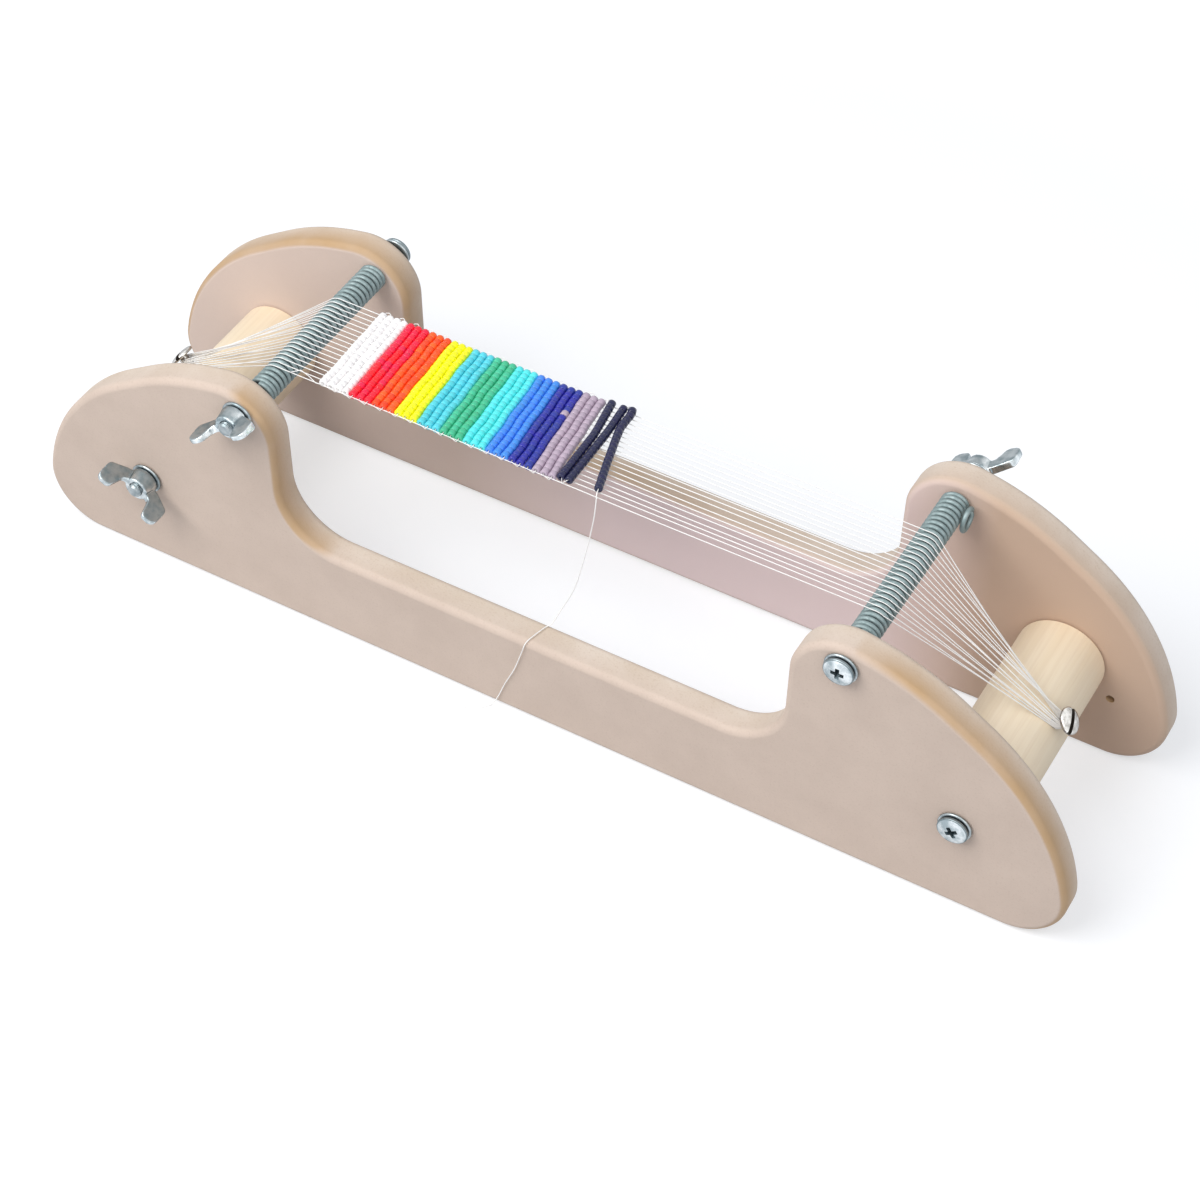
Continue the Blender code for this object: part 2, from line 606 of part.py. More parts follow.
# Working thread: from the strand's last bead, over the front rail and down to the table
rail_top = RAIL_HEIGHT + SEAT + THREAD_RADIUS
front_face = -OUTER_FACE - SEAT - THREAD_RADIUS
strand_way = (strand[-1] - strand[-2]).normalized()
thread_start = strand[-1] + strand_way * SEAT
thread_knots = [
    thread_start,
    thread_start + strand_way * 1.2 * MM,
    thread_start + Vector((0.8, -2.5, -2.6)) * MM,
    thread_start + Vector((0.6, -3.4, -8)) * MM,
    thread_start + Vector((-0.9, -4.4, -19)) * MM,
    (8.6 * MM, -INNER_FACE + 2.9 * MM, RAIL_HEIGHT + 13.5 * MM),
    (5.6 * MM, -INNER_FACE + 1.6 * MM, RAIL_HEIGHT + 5.4 * MM),
    (3.9 * MM, -INNER_FACE - 0.6 * MM, RAIL_HEIGHT + 0.9 * MM),
    (2.9 * MM, -INNER_FACE - EDGE_ROUND, rail_top),
    (1.6 * MM, -OUTER_FACE + EDGE_ROUND, rail_top),
    (0.9 * MM, front_face + 0.25 * EDGE_ROUND, RAIL_HEIGHT - 0.25 * EDGE_ROUND),
    (0.3 * MM, front_face, RAIL_HEIGHT - 3 * MM),
    (-2.2 * MM, front_face, 0.6 * RAIL_HEIGHT),
    (-5.2 * MM, front_face, 0.34 * RAIL_HEIGHT),
    (-7.4 * MM, front_face, 0.12 * RAIL_HEIGHT),
    (-9 * MM, front_face - 1.2 * MM, 2.4 * THREAD_RADIUS),
    (-11.4 * MM, front_face - 3.6 * MM, 1.1 * THREAD_RADIUS),
    (-14.6 * MM, front_face - 5.2 * MM, 1.1 * THREAD_RADIUS),
]
tube("working_thread", smooth_route(thread_knots, 46), THREAD_RADIUS, thread_white, 2)
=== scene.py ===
"""A bead loom: two rounded fibreboard sides, held apart by bolted rollers and springs and strung
with white thread, on which a striped band of glass beads is being woven.

Metres, +Z up. X runs along the loom and Y from its front side to its rear side.
"""

import json
import math
import random

import bmesh
import bpy
from mathutils import Matrix, Vector

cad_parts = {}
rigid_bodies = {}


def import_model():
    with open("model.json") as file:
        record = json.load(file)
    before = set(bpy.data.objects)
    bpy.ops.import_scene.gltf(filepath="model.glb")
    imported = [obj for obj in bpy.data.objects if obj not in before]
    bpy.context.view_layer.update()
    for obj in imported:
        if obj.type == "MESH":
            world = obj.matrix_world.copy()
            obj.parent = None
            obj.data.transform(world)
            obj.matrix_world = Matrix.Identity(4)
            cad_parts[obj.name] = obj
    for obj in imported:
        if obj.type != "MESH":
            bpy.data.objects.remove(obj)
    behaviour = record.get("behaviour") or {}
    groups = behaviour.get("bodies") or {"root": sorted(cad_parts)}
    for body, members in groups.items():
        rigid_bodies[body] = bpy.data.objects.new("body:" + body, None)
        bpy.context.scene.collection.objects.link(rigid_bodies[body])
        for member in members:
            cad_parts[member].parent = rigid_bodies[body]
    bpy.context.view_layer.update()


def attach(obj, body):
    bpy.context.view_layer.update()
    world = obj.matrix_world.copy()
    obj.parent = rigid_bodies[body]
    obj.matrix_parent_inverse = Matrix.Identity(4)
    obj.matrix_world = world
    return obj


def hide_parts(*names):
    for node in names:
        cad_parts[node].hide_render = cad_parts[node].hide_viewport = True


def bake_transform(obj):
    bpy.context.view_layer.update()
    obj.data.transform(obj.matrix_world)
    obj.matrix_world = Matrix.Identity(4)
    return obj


for old in list(bpy.data.objects):
    bpy.data.objects.remove(old)

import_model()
MM = 0.001


# The camera stands off the right front corner and looks down along the loom through a long lens,
# so that the near end is only a little larger than the far one.
def placed(name, data):
    """Adds an object that shows this data."""
    obj = bpy.data.objects.new(name, data)
    bpy.context.scene.collection.objects.link(obj)
    return obj


lens = bpy.data.cameras.new("camera")
lens.lens = 85.88
lens.sensor_width = 36
lens.clip_start = 0.01
lens.clip_end = 20
camera = placed("camera", lens)
camera.rotation_mode = "QUATERNION"
camera.rotation_quaternion = Matrix((
    (0.868, -0.36598, 0.33562),
    (0.49651, 0.62936, -0.59781),
    (0.00756, 0.68554, 0.728),
)).to_quaternion()
camera.location = (0.2583, -0.4562, 0.567)
bpy.context.scene.camera = camera
bpy.context.scene.view_settings.view_transform = "Standard"


# A white table top under two large soft lamps, one over each front corner of the loom. The table
# and the room behind it are white, and the table keeps the loom's soft shadow.
LAMPS = (("left_lamp", (-0.5, -0.65, 1.05), 15.5), ("right_lamp", (0.7, -0.45, 0.9), 4.8))
LAMP_WIDTH = 1
LAMP_COLOUR = (1, 0.985, 0.955)
TABLE_REACH = 20
ROOM_LIGHT = (0.32, 0.34, 0.38, 1)
WHITE = (1, 1, 1, 1)


def feed(made, sockets):
    """Gives a node's inputs a value each, or another node's output to read."""
    for key, value in sockets.items():
        if isinstance(value, bpy.types.NodeSocket):
            made.id_data.links.new(value, made.inputs[key])
        else:
            made.inputs[key].default_value = value


def node(tree, kind, sockets=None, **settings):
    """Adds a node with these inputs and settings."""
    made = tree.nodes.new(kind)
    for key, value in settings.items():
        setattr(made, key, value)
    feed(made, sockets or {})
    return made


def maths(tree, operation, *values):
    """The result of a sum on numbers or on other nodes' outputs."""
    return node(tree, "ShaderNodeMath", dict(enumerate(values)), operation=operation).outputs[0]


def spread(tree, value, low, high, first=0, last=1):
    """A value between low and high, spread evenly from first to last and kept within them."""
    sockets = {"Value": value, "From Min": low, "From Max": high, "To Min": first, "To Max": last}
    return node(tree, "ShaderNodeMapRange", sockets).outputs[0]


def colour_mix(tree, share, first, second):
    """A mix of two colours, all of it the second one where the share is 1."""
    return node(tree, "ShaderNodeMix", {0: share, 6: first, 7: second}, data_type="RGBA").outputs[2]


def new_material(name):
    """A material, its node tree, its main shader, and the place on a piece that its patterns read."""
    material = bpy.data.materials.new(name)
    material.use_nodes = True
    tree = material.node_tree
    place = node(tree, "ShaderNodeTexCoord").outputs["Object"]
    return material, tree, tree.nodes["Principled BSDF"], place


def seen_directly(tree):
    """1 where a camera, mirror or glass ray looks straight at the surface, and 0 elsewhere."""
    path = node(tree, "ShaderNodeLightPath").outputs
    either = maths(tree, "MAXIMUM", path["Is Camera Ray"], path["Is Glossy Ray"])
    return maths(tree, "MAXIMUM", either, path["Is Transmission Ray"])


for name, spot, power in LAMPS:
    lamp = bpy.data.lights.new(name, "AREA")
    lamp.size = LAMP_WIDTH
    lamp.energy = power
    lamp.color = LAMP_COLOUR
    stand = placed(name, lamp)
    stand.location = spot
    stand.rotation_mode = "QUATERNION"
    stand.rotation_quaternion = (-Vector(spot)).to_track_quat("-Z", "Y")

room = bpy.data.worlds.new("room")
room.use_nodes = True
bpy.context.scene.world = room
tree = room.node_tree
feed(tree.nodes["Background"], {"Color": colour_mix(tree, seen_directly(tree), ROOM_LIGHT, WHITE)})

table_top, tree, shader, place = new_material("table_top")
tree.nodes.remove(shader)
matt = node(tree, "ShaderNodeBsdfDiffuse", {"Color": (0.53, 0.545, 0.57, 1)})
away = node(tree, "ShaderNodeVectorMath", {0: place}, operation="LENGTH").outputs["Value"]
glow_level = maths(tree, "MULTIPLY", spread(tree, away, 0.25, 0.8, 0.5), seen_directly(tree))
glow = node(tree, "ShaderNodeEmission", {"Strength": glow_level})
both = node(tree, "ShaderNodeAddShader", {0: matt.outputs[0], 1: glow.outputs[0]})
feed(tree.nodes["Material Output"], {"Surface": both.outputs[0]})

bm = bmesh.new()
bmesh.ops.create_grid(bm, x_segments=1, y_segments=1, size=TABLE_REACH)
table_mesh = bpy.data.meshes.new("table")
bm.to_mesh(table_mesh)
bm.free()
table_mesh.materials.append(table_top)
table = placed("table", table_mesh)


# White nylon thread, about 0.3 millimetres thick. The working thread hangs from the last
# strand of beads, crosses the front board and trails a little way onto the table.
WARP_HEIGHT = 71.771 * MM
THREAD_RADIUS = 0.15 * MM
ROUTE_STEPS = 20


def noise(tree, place, scale, detail, roughness=0.5):
    """Soft random cloudiness, mostly a little over or under a half."""
    sockets = {"Vector": place, "Scale": scale, "Detail": detail, "Roughness": roughness}
    return node(tree, "ShaderNodeTexNoise", sockets).outputs["Fac"]


def bumps(tree, height, strength, depth):
    """The surface's directions where these small heights are pressed into it."""
    sockets = {"Height": height, "Strength": strength, "Distance": depth}
    return node(tree, "ShaderNodeBump", sockets).outputs[0]


white_thread, tree, shader, place = new_material("white_thread")
ply = noise(tree, place, 2600, 2)
feed(shader, {
    "Base Color": colour_mix(tree, ply, (1, 0.995, 0.98, 1), (0.88, 0.87, 0.85, 1)),
    "Normal": bumps(tree, ply, 0.4, 0.05 * MM),
    "Roughness": 0.5,
    "Sheen Weight": 0.2,
})


def smooth_route(knots, count):
    """Evenly spread points of one smooth curve through the knots."""
    knots = [Vector(knot) for knot in knots]
    ends = [2 * knots[0] - knots[1], *knots, 2 * knots[-1] - knots[-2]]
    fine = []
    for before, start, stop, after in zip(ends, ends[1:], ends[2:], ends[3:]):
        for step in range(ROUTE_STEPS):
            t = step / ROUTE_STEPS
            fine.append(0.5 * (2 * start + (stop - before) * t
                               + (2 * before - 5 * start + 4 * stop - after) * t ** 2
                               + (3 * start - before - 3 * stop + after) * t ** 3))
    fine.append(knots[-1])
    lengths = [0.0]
    for start, stop in zip(fine, fine[1:]):
        lengths.append(lengths[-1] + (stop - start).length)
    route = []
    at = 0
    for i in range(count):
        target = lengths[-1] * i / (count - 1)
        while at < len(fine) - 2 and lengths[at + 1] < target:
            at += 1
        share = (target - lengths[at]) / (lengths[at + 1] - lengths[at])
        route.append(fine[at].lerp(fine[at + 1], min(share, 1)))
    return route


def strung(name, routes, radius, material, fineness=1):
    """Round threads or wires along these routes, as one curve object."""
    curve = bpy.data.curves.new(name, "CURVE")
    curve.dimensions = "3D"
    curve.bevel_depth = radius
    curve.bevel_resolution = fineness
    curve.use_fill_caps = True
    curve.materials.append(material)
    for route in routes:
        spline = curve.splines.new("POLY")
        spline.points.add(len(route) - 1)
        for target, point in zip(spline.points, route):
            target.co = (*point, 1)
        spline.use_smooth = True
    return placed(name, curve)


working_knots = [
    (11.779, -18.689, 73.111), (12.094, -19.847, 73.111), (12.579, -21.189, 70.511),
    (12.379, -22.089, 65.111), (10.879, -23.089, 54.111), (8.6, -24.6, 41.9), (5.6, -25.9, 33.8),
    (3.9, -28.1, 29.3), (2.9, -29.5, 28.85), (1.6, -34.5, 28.85), (0.9, -36.45, 27.9),
    (0.3, -36.95, 25.4), (-2.2, -36.95, 17.04), (-5.2, -36.95, 9.656), (-7.4, -36.95, 3.408),
    (-9.0, -38.15, 0.36), (-11.4, -40.55, 0.165), (-14.6, -42.15, 0.165),
]
working_route = smooth_route([Vector(knot) * MM for knot in working_knots], 140)
working_thread = strung("hanging_thread", [working_route], THREAD_RADIUS, white_thread, 2)
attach(working_thread, "frame")
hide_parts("working_thread")


# The two sides are sawn from 9 mm fibreboard, their rims rounded with a router, and drilled for
# four bolts. Sanded faces are pinkish and finely speckled, and browner at the rear side's right
# end. Their inner faces are painted paler, and paler still past the left lobe, as painted light
# between the boards and under the band. The rims are paler, apart from an ochre band where the
# round-over meets the face. That band is partly router scorch and partly painted shade: on the
# front side it lies only on rims that face right, away from the lamps, and on the rear side it
# grows towards the left end. The peg hole's wall is painted with the same colour as painted shade.
BOARD = 9 * MM
RIM_ROUND = 2 * MM
INNER_FACE = 27.5 * MM
OUTER_FACE = INNER_FACE + BOARD
BOARD_MIDDLE = INNER_FACE + BOARD / 2
SPRING_X = {-1: -83.4 * MM, 1: 88 * MM}
SPRING_Z = 68 * MM
ROLLER_X = {-1: -116.8 * MM, 1: 121.4 * MM}
ROLLER_Z = 29.7 * MM
BORE = 2.36 * MM
PINHOLE = Vector((135.8, 20.8)) * MM
PINHOLE_RADIUS = 1.2 * MM
PINHOLE_DEPTH = 7 * MM
half_outline = [
    (73.5, 28.4, 17), (74.2, 77.1, 14.7), (106.3, 70.7, 67.4), (146.3, 45.1, 62.4), (155, 0, 15.4),
]
board_corners = [(x * MM, z * MM, r * MM) for x, z, r in half_outline]
board_corners += [(-x, z, r) for x, z, r in reversed(board_corners)]


def effect(name, inputs, outputs):
    """A new node group with these named sockets, the values it is given, and its output node."""
    group = bpy.data.node_groups.new(name, "ShaderNodeTree")
    for label, kind, value in inputs:
        socket = group.interface.new_socket(label, in_out="INPUT", socket_type=kind)
        if value is not None:
            socket.default_value = value
    for label, kind in outputs:
        group.interface.new_socket(label, in_out="OUTPUT", socket_type=kind)
    return group, group.nodes.new("NodeGroupInput").outputs, group.nodes.new("NodeGroupOutput")


grain, given, result = effect("grain", [
    ("Vector", "NodeSocketVector", None),
    ("Pale", "NodeSocketColor", (1, 1, 1, 1)),
    ("Dark", "NodeSocketColor", (0, 0, 0, 1)),
    ("Fleck", "NodeSocketColor", (0, 0, 0, 1)),
    ("Mottle Scale", "NodeSocketFloat", 80),
    ("Fleck Scale", "NodeSocketFloat", 1500),
    ("Fleck Amount", "NodeSocketFloat", 0.3),
], [("Color", "NodeSocketColor"), ("Roughness", "NodeSocketFloat"), ("Height", "NodeSocketFloat")])
mottle = noise(grain, given["Vector"], given["Mottle Scale"], 5, 0.62)
ground = colour_mix(grain, spread(grain, mottle, 0.36, 0.64), given["Pale"], given["Dark"])
fibres = noise(grain, given["Vector"], given["Fleck Scale"], 3, 0.55)
flecks = maths(grain, "MULTIPLY", spread(grain, fibres, 0.53, 0.72), given["Fleck Amount"])
feed(result, {
    "Color": colour_mix(grain, flecks, ground, given["Fleck"]),
    "Roughness": spread(grain, mottle, 0, 1, 0.5, 0.78),
    "Height": fibres,
})


def grained(tree, place, pale, dark, fleck, mottle_scale, fleck_scale):
    """What a grain with these colours and finenesses puts out."""
    return node(tree, "ShaderNodeGroup", {
        "Vector": place, "Pale": pale, "Dark": dark, "Fleck": fleck, "Mottle Scale": mottle_scale,
        "Fleck Scale": fleck_scale,
    }, node_tree=grain).outputs


def stored(tree, name):
    """A value that a piece's mesh holds under this name."""
    return node(tree, "ShaderNodeAttribute", attribute_name=name).outputs["Fac"]


board, tree, shader, place = new_material("fibreboard")
sanded = grained(tree, place, (0.645, 0.525, 0.445, 1), (0.605, 0.49, 0.415, 1), (0.48, 0.37, 0.3, 1),
                 55, 1700)
routed = grained(tree, place, (0.72, 0.62, 0.53, 1), (0.65, 0.54, 0.44, 1), (0.5, 0.36, 0.24, 1),
                 55, 1700)
axes = node(tree, "ShaderNodeSeparateXYZ", {0: place}).outputs
# Painted light: the inner faces are painted paler, and paler still past the left lobe, where the band's
# shadow falls.
painted_light_inner_face = spread(tree, maths(tree, "ABSOLUTE", axes["Y"]), INNER_FACE + 1 * MM, INNER_FACE, 0, 0.7)
painted_light_past_left_lobe = spread(tree, axes["X"], -60 * MM, -10 * MM)
right_end = spread(tree, axes["X"], 65 * MM, 100 * MM, 0, 0.9)
rear_only = maths(tree, "GREATER_THAN", axes["Y"], 0)
patchy = spread(tree, noise(tree, place, 90, 3), 0.3, 0.65, 0.75)
tones = (
    (painted_light_inner_face, (0.77, 0.63, 0.56, 1)),
    (maths(tree, "MULTIPLY", painted_light_inner_face, painted_light_past_left_lobe), (0.9, 0.745, 0.76, 1)),
    (maths(tree, "MULTIPLY", right_end, rear_only), (0.56, 0.4, 0.285, 1)),
    (stored(tree, "pale"), routed["Color"]),
    # The ochre is router scorch mixed with painted shade on the rims, and painted shade in the peg hole.
    (maths(tree, "MULTIPLY", stored(tree, "scorch_and_painted_shade"), patchy), (0.52, 0.345, 0.19, 1)),
)
board_colour = sanded["Color"]
for share, tone in tones:
    board_colour = colour_mix(tree, share, board_colour, tone)
feed(shader, {
    "Base Color": board_colour,
    "Roughness": sanded["Roughness"],
    "Normal": bumps(tree, sanded["Height"], 0.35, 0.12 * MM),
    "Specular IOR Level": 0.3,
})


def rounded_outline(corners, step):
    """Points of a closed outline whose corners (x, z, radius) are rounded with arcs."""
    count = len(corners)
    points = [Vector(corner[:2]) for corner in corners]
    reach = []
    for i, (_, _, radius) in enumerate(corners):
        back = points[i - 1] - points[i]
        ahead = points[(i + 1) % count] - points[i]
        reach.append(radius / math.tan(back.angle(ahead) / 2))
    sides = [(points[(i + 1) % count] - points[i]).length for i in range(count)]
    limits = [min(1, sides[i] / max(reach[i] + reach[(i + 1) % count], MM)) for i in range(count)]
    outline = []
    for i, point in enumerate(points):
        back = (points[i - 1] - point).normalized()
        ahead = (points[(i + 1) % count] - point).normalized()
        tangent = reach[i] * min(limits[i - 1], limits[i])
        radius = tangent * math.tan(back.angle(ahead) / 2)
        if radius < 0.01 * MM:
            outline.append(point)
            continue
        centre = point + (back + ahead).normalized() * radius / math.sin(back.angle(ahead) / 2)
        start = point + back * tangent - centre
        turn = start.angle_signed(point + ahead * tangent - centre)
        steps = max(1, math.ceil(abs(turn) / step))
        for i_step in range(steps + 1):
            outline.append(centre + Matrix.Rotation(-turn * i_step / steps, 2) @ start)
    return outline


def finished(name, bm, crease=35):
    """Turns a bmesh into an object with outward faces and smooth round sides."""
    bmesh.ops.remove_doubles(bm, verts=bm.verts[:], dist=0.001 * MM)
    bmesh.ops.recalc_face_normals(bm, faces=bm.faces[:])
    mesh = bpy.data.meshes.new(name)
    bm.to_mesh(mesh)
    bm.free()
    mesh.shade_smooth()
    mesh.set_sharp_from_angle(angle=math.radians(crease))
    return placed(name, mesh)


def worked(obj, crease=35):
    """The object with its modifiers applied to its mesh, and the tools that they used removed."""
    graph = bpy.context.evaluated_depsgraph_get()
    mesh = bpy.data.meshes.new_from_object(obj.evaluated_get(graph))
    tools = [modifier.object for modifier in obj.modifiers if modifier.type == "BOOLEAN"]
    obj.modifiers.clear()
    for tool in tools:
        bpy.data.objects.remove(tool)
    obj.data = mesh
    mesh.shade_smooth()
    mesh.set_sharp_from_angle(angle=math.radians(crease))
    return obj


def boolean(obj, tool, operation="DIFFERENCE"):
    """Cuts a tool's shape from an object, or joins it on, and returns the modifier that does so."""
    modifier = obj.modifiers.new(tool.name, "BOOLEAN")
    modifier.operation = operation
    modifier.object = tool
    return modifier


def plate(bm, outline, low, high):
    """Adds a plate cut to an outline of (x, z) points, from y = low to y = high."""
    face = bm.faces.new([bm.verts.new((x, low, z)) for x, z in outline])
    made = bmesh.ops.extrude_face_region(bm, geom=[face])["geom"]
    verts = [item for item in made if isinstance(item, bmesh.types.BMVert)]
    bmesh.ops.translate(bm, verts=verts, vec=(0, high - low, 0))


def drill(bm, x, y, z, radius, length):
    """Adds a drill that lies along Y, centred on a place."""
    spot = Matrix.Translation((x, y, z)) @ Matrix.Rotation(math.radians(90), 4, "X")
    bmesh.ops.create_cone(bm, cap_ends=True, segments=40, radius1=radius, radius2=radius, depth=length,
                          matrix=spot)


def limited(value):
    """The value kept between 0 and 1."""
    return max(0.0, min(1.0, value))


def rim_tones(face, vert, way):
    """How pale the rim is at a corner of a face, and how much ochre it gets, partly router scorch
    and partly painted shade; 0 on the flat sides of a board.
    """
    if abs(face.normal.y) > 0.99:
        return 0, 0
    # The peg hole's wall gets the full ochre colour, as painted shade in the hole.
    if way > 0 and (face.center.xz - PINHOLE).length < PINHOLE_RADIUS + 0.1 * MM:
        return 0, 1
    back = (vert.co.y - (INNER_FACE if way > 0 else -OUTER_FACE)) / MM
    pale = limited((back - 0.6) / 3)
    # On the front side the ochre is painted shade on rims that face right, away from the lamps; on the rear
    # side it grows towards the left end.
    scorch_and_shade_share = limited(4 * vert.normal.x - 0.3) if way < 0 else limited(-vert.co.x / (40 * MM))
    return pale, scorch_and_shade_share * limited(min(back / 0.3, 1.25 - back / 7))


board_outline = rounded_outline(board_corners, math.radians(2.5))
for name, way in (("front_side", -1), ("rear_side", 1)):
    bm = bmesh.new()
    plate(bm, board_outline, way * INNER_FACE, way * OUTER_FACE)
    bmesh.ops.recalc_face_normals(bm, faces=bm.faces[:])
    rims = [edge for edge in bm.edges if abs(edge.verts[0].co.y - edge.verts[1].co.y) < 0.01 * MM]
    bmesh.ops.bevel(bm, geom=rims, offset=RIM_ROUND, offset_type="OFFSET", segments=6, profile=0.5,
                    affect="EDGES", clamp_overlap=True, material=-1)
    side = finished(f"{name}_board", bm)
    bits = bmesh.new()
    for end in (-1, 1):
        drill(bits, SPRING_X[end], way * BOARD_MIDDLE, SPRING_Z, BORE, 2 * BOARD)
        drill(bits, ROLLER_X[end], way * BOARD_MIDDLE, ROLLER_Z, BORE, 2 * BOARD)
    if way > 0:
        drill(bits, PINHOLE.x, INNER_FACE, PINHOLE.y, PINHOLE_RADIUS, 2 * PINHOLE_DEPTH)
    boolean(side, finished("drill_bits", bits))
    worked(side)
    pale = side.data.attributes.new("pale", "FLOAT", "CORNER")
    scorch_and_painted_shade = side.data.attributes.new("scorch_and_painted_shade", "FLOAT", "CORNER")
    for face in side.data.polygons:
        for corner in face.loop_indices:
            vert = side.data.vertices[side.data.loops[corner].vertex_index]
            tones = rim_tones(face, vert, way)
            pale.data[corner].value, scorch_and_painted_shade.data[corner].value = tones
    flat_faces = side.modifiers.new("flat_faces", "WEIGHTED_NORMAL")
    flat_faces.keep_sharp = True
    side.data.materials.clear()
    side.data.materials.append(board)
    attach(side, "frame")
    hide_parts(f"{name}_panel")


# Four zinc-plated machine screws join the sides: pan heads with a cross recess, a plain shank
# inside the roller or spring, and a threaded end for the wing nut.
SEAT_GAP = 0.3 * MM
WASHER_THICKNESS = 0.8 * MM
FIXING_SEAT = OUTER_FACE + WASHER_THICKNESS + 2 * SEAT_GAP
SHANK = 1.96 * MM
PITCH = 0.7 * MM
HEAD = 4.1 * MM
HEAD_SIDE = 0.7 * MM
HEAD_TOP = 1.5 * MM
BOLT_REACH = 81.2 * MM
THREADED = 15 * MM
THREAD_RINGS = 110
TIP = 0.45 * MM
HEAD_EDGE = 0.25 * MM
CROSS_BAR = (5 * MM, 1.6 * MM, 3 * MM, 1)
CROSS_TAPER = 0.42

plating, given, result = effect("plating", [
    ("Vector", "NodeSocketVector", None),
    ("Bright", "NodeSocketColor", (1, 1, 1, 1)),
    ("Dull", "NodeSocketColor", (0, 0, 0, 1)),
    ("Scale", "NodeSocketFloat", 500),
    ("Polish", "NodeSocketFloat", 0.2),
], [("Color", "NodeSocketColor"), ("Roughness", "NodeSocketFloat"), ("Height", "NodeSocketFloat")])
cloud = noise(plating, given["Vector"], given["Scale"], 4)
cloud_share = spread(plating, cloud, 0.38, 0.66)
feed(result, {
    "Color": colour_mix(plating, cloud_share, given["Bright"], given["Dull"]),
    "Roughness": maths(plating, "MULTIPLY_ADD", cloud_share, 0.16, given["Polish"]),
    "Height": cloud,
})


def plated(name, bright, dull, shadowed, scale, polish, dent):
    """A plated metal with a clouded, uneven skin, its colour painted darker at a slant and on faces
    marked dull, as painted shade and reflection; the marked faces are rougher too.
    """
    material, tree, shader, place = new_material(name)
    skin = node(tree, "ShaderNodeGroup", {
        "Vector": place, "Bright": bright, "Dull": dull, "Scale": scale, "Polish": polish,
    }, node_tree=plating).outputs
    # Layer Weight paints shade on the colour at a slant, and the stored dull marks add more painted shade.
    edge = node(tree, "ShaderNodeLayerWeight", {"Blend": 0.5}).outputs["Facing"]
    stored_dull_and_shade = stored(tree, "dull")
    painted_shade_share = maths(tree, "MAXIMUM", spread(tree, edge, 0.3, 0.85, 0, 0.8), stored_dull_and_shade)
    feed(shader, {
        "Base Color": colour_mix(tree, painted_shade_share, skin["Color"], shadowed),
        "Roughness": maths(tree, "MULTIPLY_ADD", stored_dull_and_shade, 0.3, skin["Roughness"]),
        "Normal": bumps(tree, skin["Height"], 0.3, dent),
        "Metallic": 1,
    })
    return material


zinc = plated("zinc_plate", (0.85, 0.9, 0.92, 1), (0.36, 0.43, 0.46, 1), (0.12, 0.16, 0.18, 1),
              420, 0.12, 0.12 * MM)


def turned(bm, profile, steps, ring=False):
    """Adds a shape turned about Z from (radius, height) points; a ring's profile is closed."""
    verts = [bm.verts.new((radius, 0, height)) for radius, height in profile]
    ends = verts[1:] + verts[:1] if ring else verts[1:]
    edges = [bm.edges.new(pair) for pair in zip(verts, ends)]
    bmesh.ops.spin(bm, geom=verts + edges, cent=(0, 0, 0), axis=(0, 0, 1), angle=math.tau, steps=steps,
                   use_merge=True)


def threaded(bm, low, high, radius, pitch):
    """Presses a screw thread into the round shape between two heights."""
    for vert in bm.verts:
        if low < vert.co.z < high and abs(vert.co.xy.length - radius) < 0.05 * MM:
            turns = vert.co.z / pitch - math.atan2(vert.co.y, vert.co.x) / math.tau
            groove = abs(2 * (turns % 1) - 1) * 0.6 * pitch
            runout = min(1, (high - vert.co.z) / (2 * pitch), (vert.co.z - low) / (0.5 * pitch))
            vert.co.xy = vert.co.xy * (radius - groove * runout) / radius


def domed(radius, low, high, steps):
    """Profile points of a domed top, from its rim to its middle."""
    angles = [math.radians(90 * i / steps) for i in range(steps)]
    return [(radius * math.cos(a), low + (high - low) * math.sin(a)) for a in angles] + [(0, high)]


def facing(way, turn=0.0):
    """Turns a piece made upright so that its top faces the rear (1) or the front (-1)."""
    return Matrix.Rotation(math.radians(-90 * way), 4, "X") @ Matrix.Rotation(turn, 4, "Z")


def mark_shade_and_dullness(obj, rule):
    """Stores how much painted shade and roughness each face of a plated piece gets, by a rule from
    its middle and its direction.
    """
    dull = obj.data.attributes.new("dull", "FLOAT", "FACE")
    for face, mark in zip(obj.data.polygons, dull.data):
        mark.value = rule(face.center, face.normal)


def copied(name, shape, matrix, material):
    """An object with its own turned and shifted copy of a shape."""
    mesh = shape.data.copy()
    mesh.name = name
    mesh.transform(matrix)
    mesh.materials.clear()
    mesh.materials.append(material)
    return placed(name, mesh)


bm = bmesh.new()
thread_heights = [-BOLT_REACH + TIP + THREADED * i / THREAD_RINGS for i in range(THREAD_RINGS + 1)]
turned(bm, [(0, -BOLT_REACH), (SHANK - TIP, -BOLT_REACH)] + [(SHANK, height) for height in thread_heights]
       + [(SHANK, 0), (HEAD - HEAD_EDGE, 0), (HEAD, HEAD_EDGE)] + domed(HEAD, HEAD_SIDE, HEAD_TOP, 12), 32)
threaded(bm, -BOLT_REACH + TIP - 0.01 * MM, -BOLT_REACH + THREADED, SHANK, PITCH)
screw = finished("screw_shape", bm)
bm = bmesh.new()
for turn in (0, 90):
    middle = Matrix.Rotation(math.radians(turn), 4, "Z") @ Matrix.Translation((0, 0, HEAD_TOP))
    made = bmesh.ops.create_cube(bm, size=1, matrix=middle @ Matrix.Diagonal(CROSS_BAR))
    for vert in made["verts"]:
        if vert.co.z < HEAD_TOP:
            vert.co.xy *= CROSS_TAPER
boolean(screw, finished("cross_recess", bm)).use_self = True
worked(screw)


